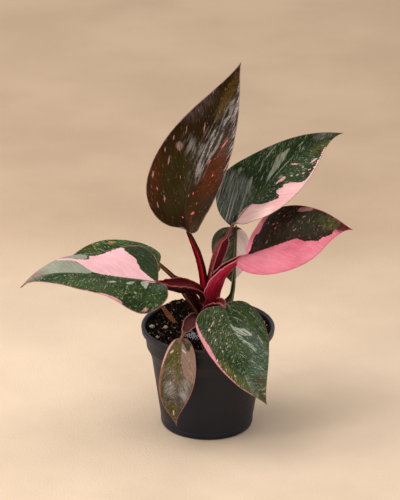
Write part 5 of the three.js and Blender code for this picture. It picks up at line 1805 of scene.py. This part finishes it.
def make_crumb_material(name):
    """Loose bits: tones that follow each bit's own tone, with a grain."""
    tones, rough = CRUMBS[name].tones, CRUMBS[name].rough
    w = Finish(name, Specular_IOR_Level=0.06)
    tone, grain = w.field("tone"), w.noise(w.place(), 1.2, 4, 0.7)
    colour = tones[0]
    for i, step in enumerate(tones[1:]):
        colour = w.mix(w.ramp(tone, 0.3 + 0.25 * i, 0.36 + 0.25 * i), colour, step)
    dark = w.mix(0.6, colour, (0.8, 0.5, 0.3))
    colour = w.mix(w.ramp(grain, 0.3, 0.62), dark, colour)
    return w.lay(colour, w.ramp(grain, 0.3, 0.7, rough - 0.15, rough), grain, 0.3)


def make_grain_material():
    """White expanded rock, stained by the soil in its pits."""
    w = Finish("white_grain", Specular_IOR_Level=0.3)
    place = w.place()
    pits = w.cells(place, 1.5).outputs["Distance"]
    cloud = w.noise(place, 0.9, 4)
    colour = w.mix(w.ramp(cloud, 0.35, 0.65), (54, 37, 22), (80, 62, 42))
    colour = w.mix(w.ramp(pits, 0.22, 0.05), colour, (26, 17, 10))
    return w.lay(colour, w.ramp(cloud, 0.3, 0.7, 0.8, 0.95), w.plus(pits, cloud), 0.4)


def make_scale_material():
    """Dry orange paper with long fibres, dark patches, painted highlights and pale edges."""
    w = Finish("papery_scale", Specular_IOR_Level=0.12)
    spot, wing = w.field("spot", vector=True), w.field("wing")
    fibres = w.noise(w.stretched(spot, (0.1, 1.6, 1)), 1, 4, 0.65)
    cloud = w.noise(w.stretched(spot, (0.25, 0.5, 1)), 1, 4)
    colour = w.mix(w.ramp(fibres, 0.35, 0.65), (5, 1.1, 0.2), (25, 7, 1.2))
    colour = w.mix(w.ramp(cloud, 0.42, 0.3), colour, (2, 0.6, 0.2))
    # Painted highlights: bright orange where the cloud noise is high.
    colour = w.mix(w.ramp(cloud, 0.55, 0.68), colour, (42, 17, 4.5))
    colour = w.mix(w.times(w.ramp(wing, 0.7, 0), 0.4), colour, (24, 11, 3.5))
    return w.lay(colour, w.ramp(cloud, 0.3, 0.7, 0.55, 0.8), fibres, 0.4)


def make_netting_material():
    """Grey threads with soil on them."""
    w = Finish("grey_netting")
    place = w.place()
    cloud = w.noise(place, 0.22, 4)
    soil = w.ramp(w.noise(place, 0.5, 4, 0.7), 0.5, 0.7)
    colour = w.mix(w.ramp(cloud, 0.3, 0.7), (42, 44, 52), (74, 76, 84))
    colour = w.mix(w.times(soil, 0.35), colour, (3, 1.9, 1.2))
    return w.lay(colour, w.ramp(cloud, 0.3, 0.7, 0.55, 0.8), w.noise(place, 3, 3), 0.12)


# ---- studio

STUDIO = Measures(
    view_distance=2500, view_pitch=22, view_roll=0.75, view_target=(-8.1, 0, 167.6),
    view_focal=2817,  # in pixels of a picture 500 pixels high
    picture_height=500, sensor=36, view_depth=(100, 40000), floor_half=6000, floor_cells=24,
    floor_near=((60, 46.5, 34.5), (70, 55, 41.5)),
    floor_far=((44, 31.5, 21.5), (50, 36.5, 25.5)),
    floor_turns=(200, 520),  # how far behind the plant the floor's tone changes
    sky=(100, 97.5, 94), sky_low=0.52, sky_above=0.40, sky_behind=0.10,
)
LAMPS = {
    "key": Measures(
        azimuth=-78, elevation=56, distance=2400, size=2300, power=46, colour=(100, 95, 87),
    ),
    "sheen": Measures(
        azimuth=-60, elevation=21, distance=1500, size=190, power=5.0, colour=(100, 97, 94),
    ),
}


def make_camera():
    pitch, roll = math.radians(STUDIO.view_pitch), math.radians(STUDIO.view_roll)
    ahead = Vector((0, math.cos(pitch), -math.sin(pitch)))
    level, rise = Vector((1, 0, 0)), Vector((0, math.sin(pitch), math.cos(pitch)))
    right = level * math.cos(roll) + rise * math.sin(roll)
    up = rise * math.cos(roll) - level * math.sin(roll)
    place = (Vector(STUDIO.view_target) - ahead * STUDIO.view_distance) * MILLIMETRE
    lens = bpy.data.cameras.new("camera")
    lens.sensor_width = STUDIO.sensor
    lens.lens = STUDIO.view_focal * STUDIO.sensor / STUDIO.picture_height
    lens.clip_start, lens.clip_end = (depth * MILLIMETRE for depth in STUDIO.view_depth)
    camera = add_to_scene("camera", lens)
    camera.matrix_world = Matrix((
        (right.x, up.x, -ahead.x, place.x),
        (right.y, up.y, -ahead.y, place.y),
        (right.z, up.z, -ahead.z, place.z),
        (0, 0, 0, 1),
    ))
    bpy.context.scene.camera = camera


def make_lamp(name):
    """A square soft lamp that faces the plant."""
    spec = LAMPS[name]
    lamp = bpy.data.lights.new(name, "AREA")
    lamp.size = spec.size * MILLIMETRE
    lamp.energy = spec.power
    lamp.color = [PERCENT * part for part in spec.colour]
    light = add_to_scene(name, lamp)
    way = Vector(direction(spec.azimuth, spec.elevation))
    light.location = (Vector(STUDIO.view_target) + way * spec.distance) * MILLIMETRE
    light.rotation_mode = "QUATERNION"
    light.rotation_quaternion = way.to_track_quat("Z", "Y")


def make_floor():
    """A plain pale floor, darker far behind the plant."""
    w = Finish("pale_floor", Specular_IOR_Level=0.3)
    place = w.place()
    cloud, grit = w.noise(place, 0.006, 4.0), w.noise(place, 0.45, 4.0, 0.65)
    far = w.ramp(w.parts(place)[1], *STUDIO.floor_turns)
    shade = w.ramp(cloud, 0.3, 0.7)
    far_low, far_high = STUDIO.floor_far
    colour = w.mix(far, w.mix(shade, *STUDIO.floor_near), w.mix(shade, far_low, far_high))
    colour = w.mix(w.ramp(grit, 0.62, 0.8, 0.0, 0.2), colour, far_low)
    material = w.lay(colour, w.ramp(cloud, 0.3, 0.7, 0.8, 0.92), w.plus(grit, cloud), 0.5)
    half, cells = STUDIO.floor_half, STUDIO.floor_cells
    line = np.linspace(-half, half, cells + 1)
    mesh = make_mesh("floor", [(x, y, 0) for y in line for x in line], grid_faces(cells + 1, cells + 1))
    mesh.materials.append(material)
    floor = add_to_scene("floor", mesh)


def make_sky():
    """Soft light from all round, stronger from above."""
    world = bpy.data.worlds.new("soft_room")
    world.use_nodes = True
    w = Wiring(world.node_tree)
    _, back, high = w.parts(w.add("TexCoord").outputs["Generated"])
    above = w.ramp(high, -0.1, 0.95, 0.0, STUDIO.sky_above)
    behind = w.ramp(back, -0.3, 0.8, 0.0, STUDIO.sky_behind)
    sky = world.node_tree.nodes["Background"]
    w.feed(sky.inputs["Color"], STUDIO.sky)
    w.feed(sky.inputs["Strength"], w.plus(w.plus(above, behind), STUDIO.sky_low))
    bpy.context.scene.world = world
    bpy.context.scene.view_settings.view_transform = "Standard"


# ---- the plant in its pot

make_camera()
make_floor()
make_sky()
for lamp_name in LAMPS:
    make_lamp(lamp_name)

for leaf in BLADES:
    make_blade(leaf, make_leaf_material(leaf))
    make_stalk(leaf, make_stalk_material(leaf))
make_stem(make_stem_material())
make_scale(make_scale_material())
make_netting(make_netting_material())
make_pot(make_pot_material())
make_soil(make_soil_material())
for bits in CRUMBS:
    make_crumbs(bits, make_crumb_material(bits))
white_grain = make_grain_material()
for grain_number, grain in enumerate(GRAINS, 1):
    make_grain(grain_number, grain, white_grain)
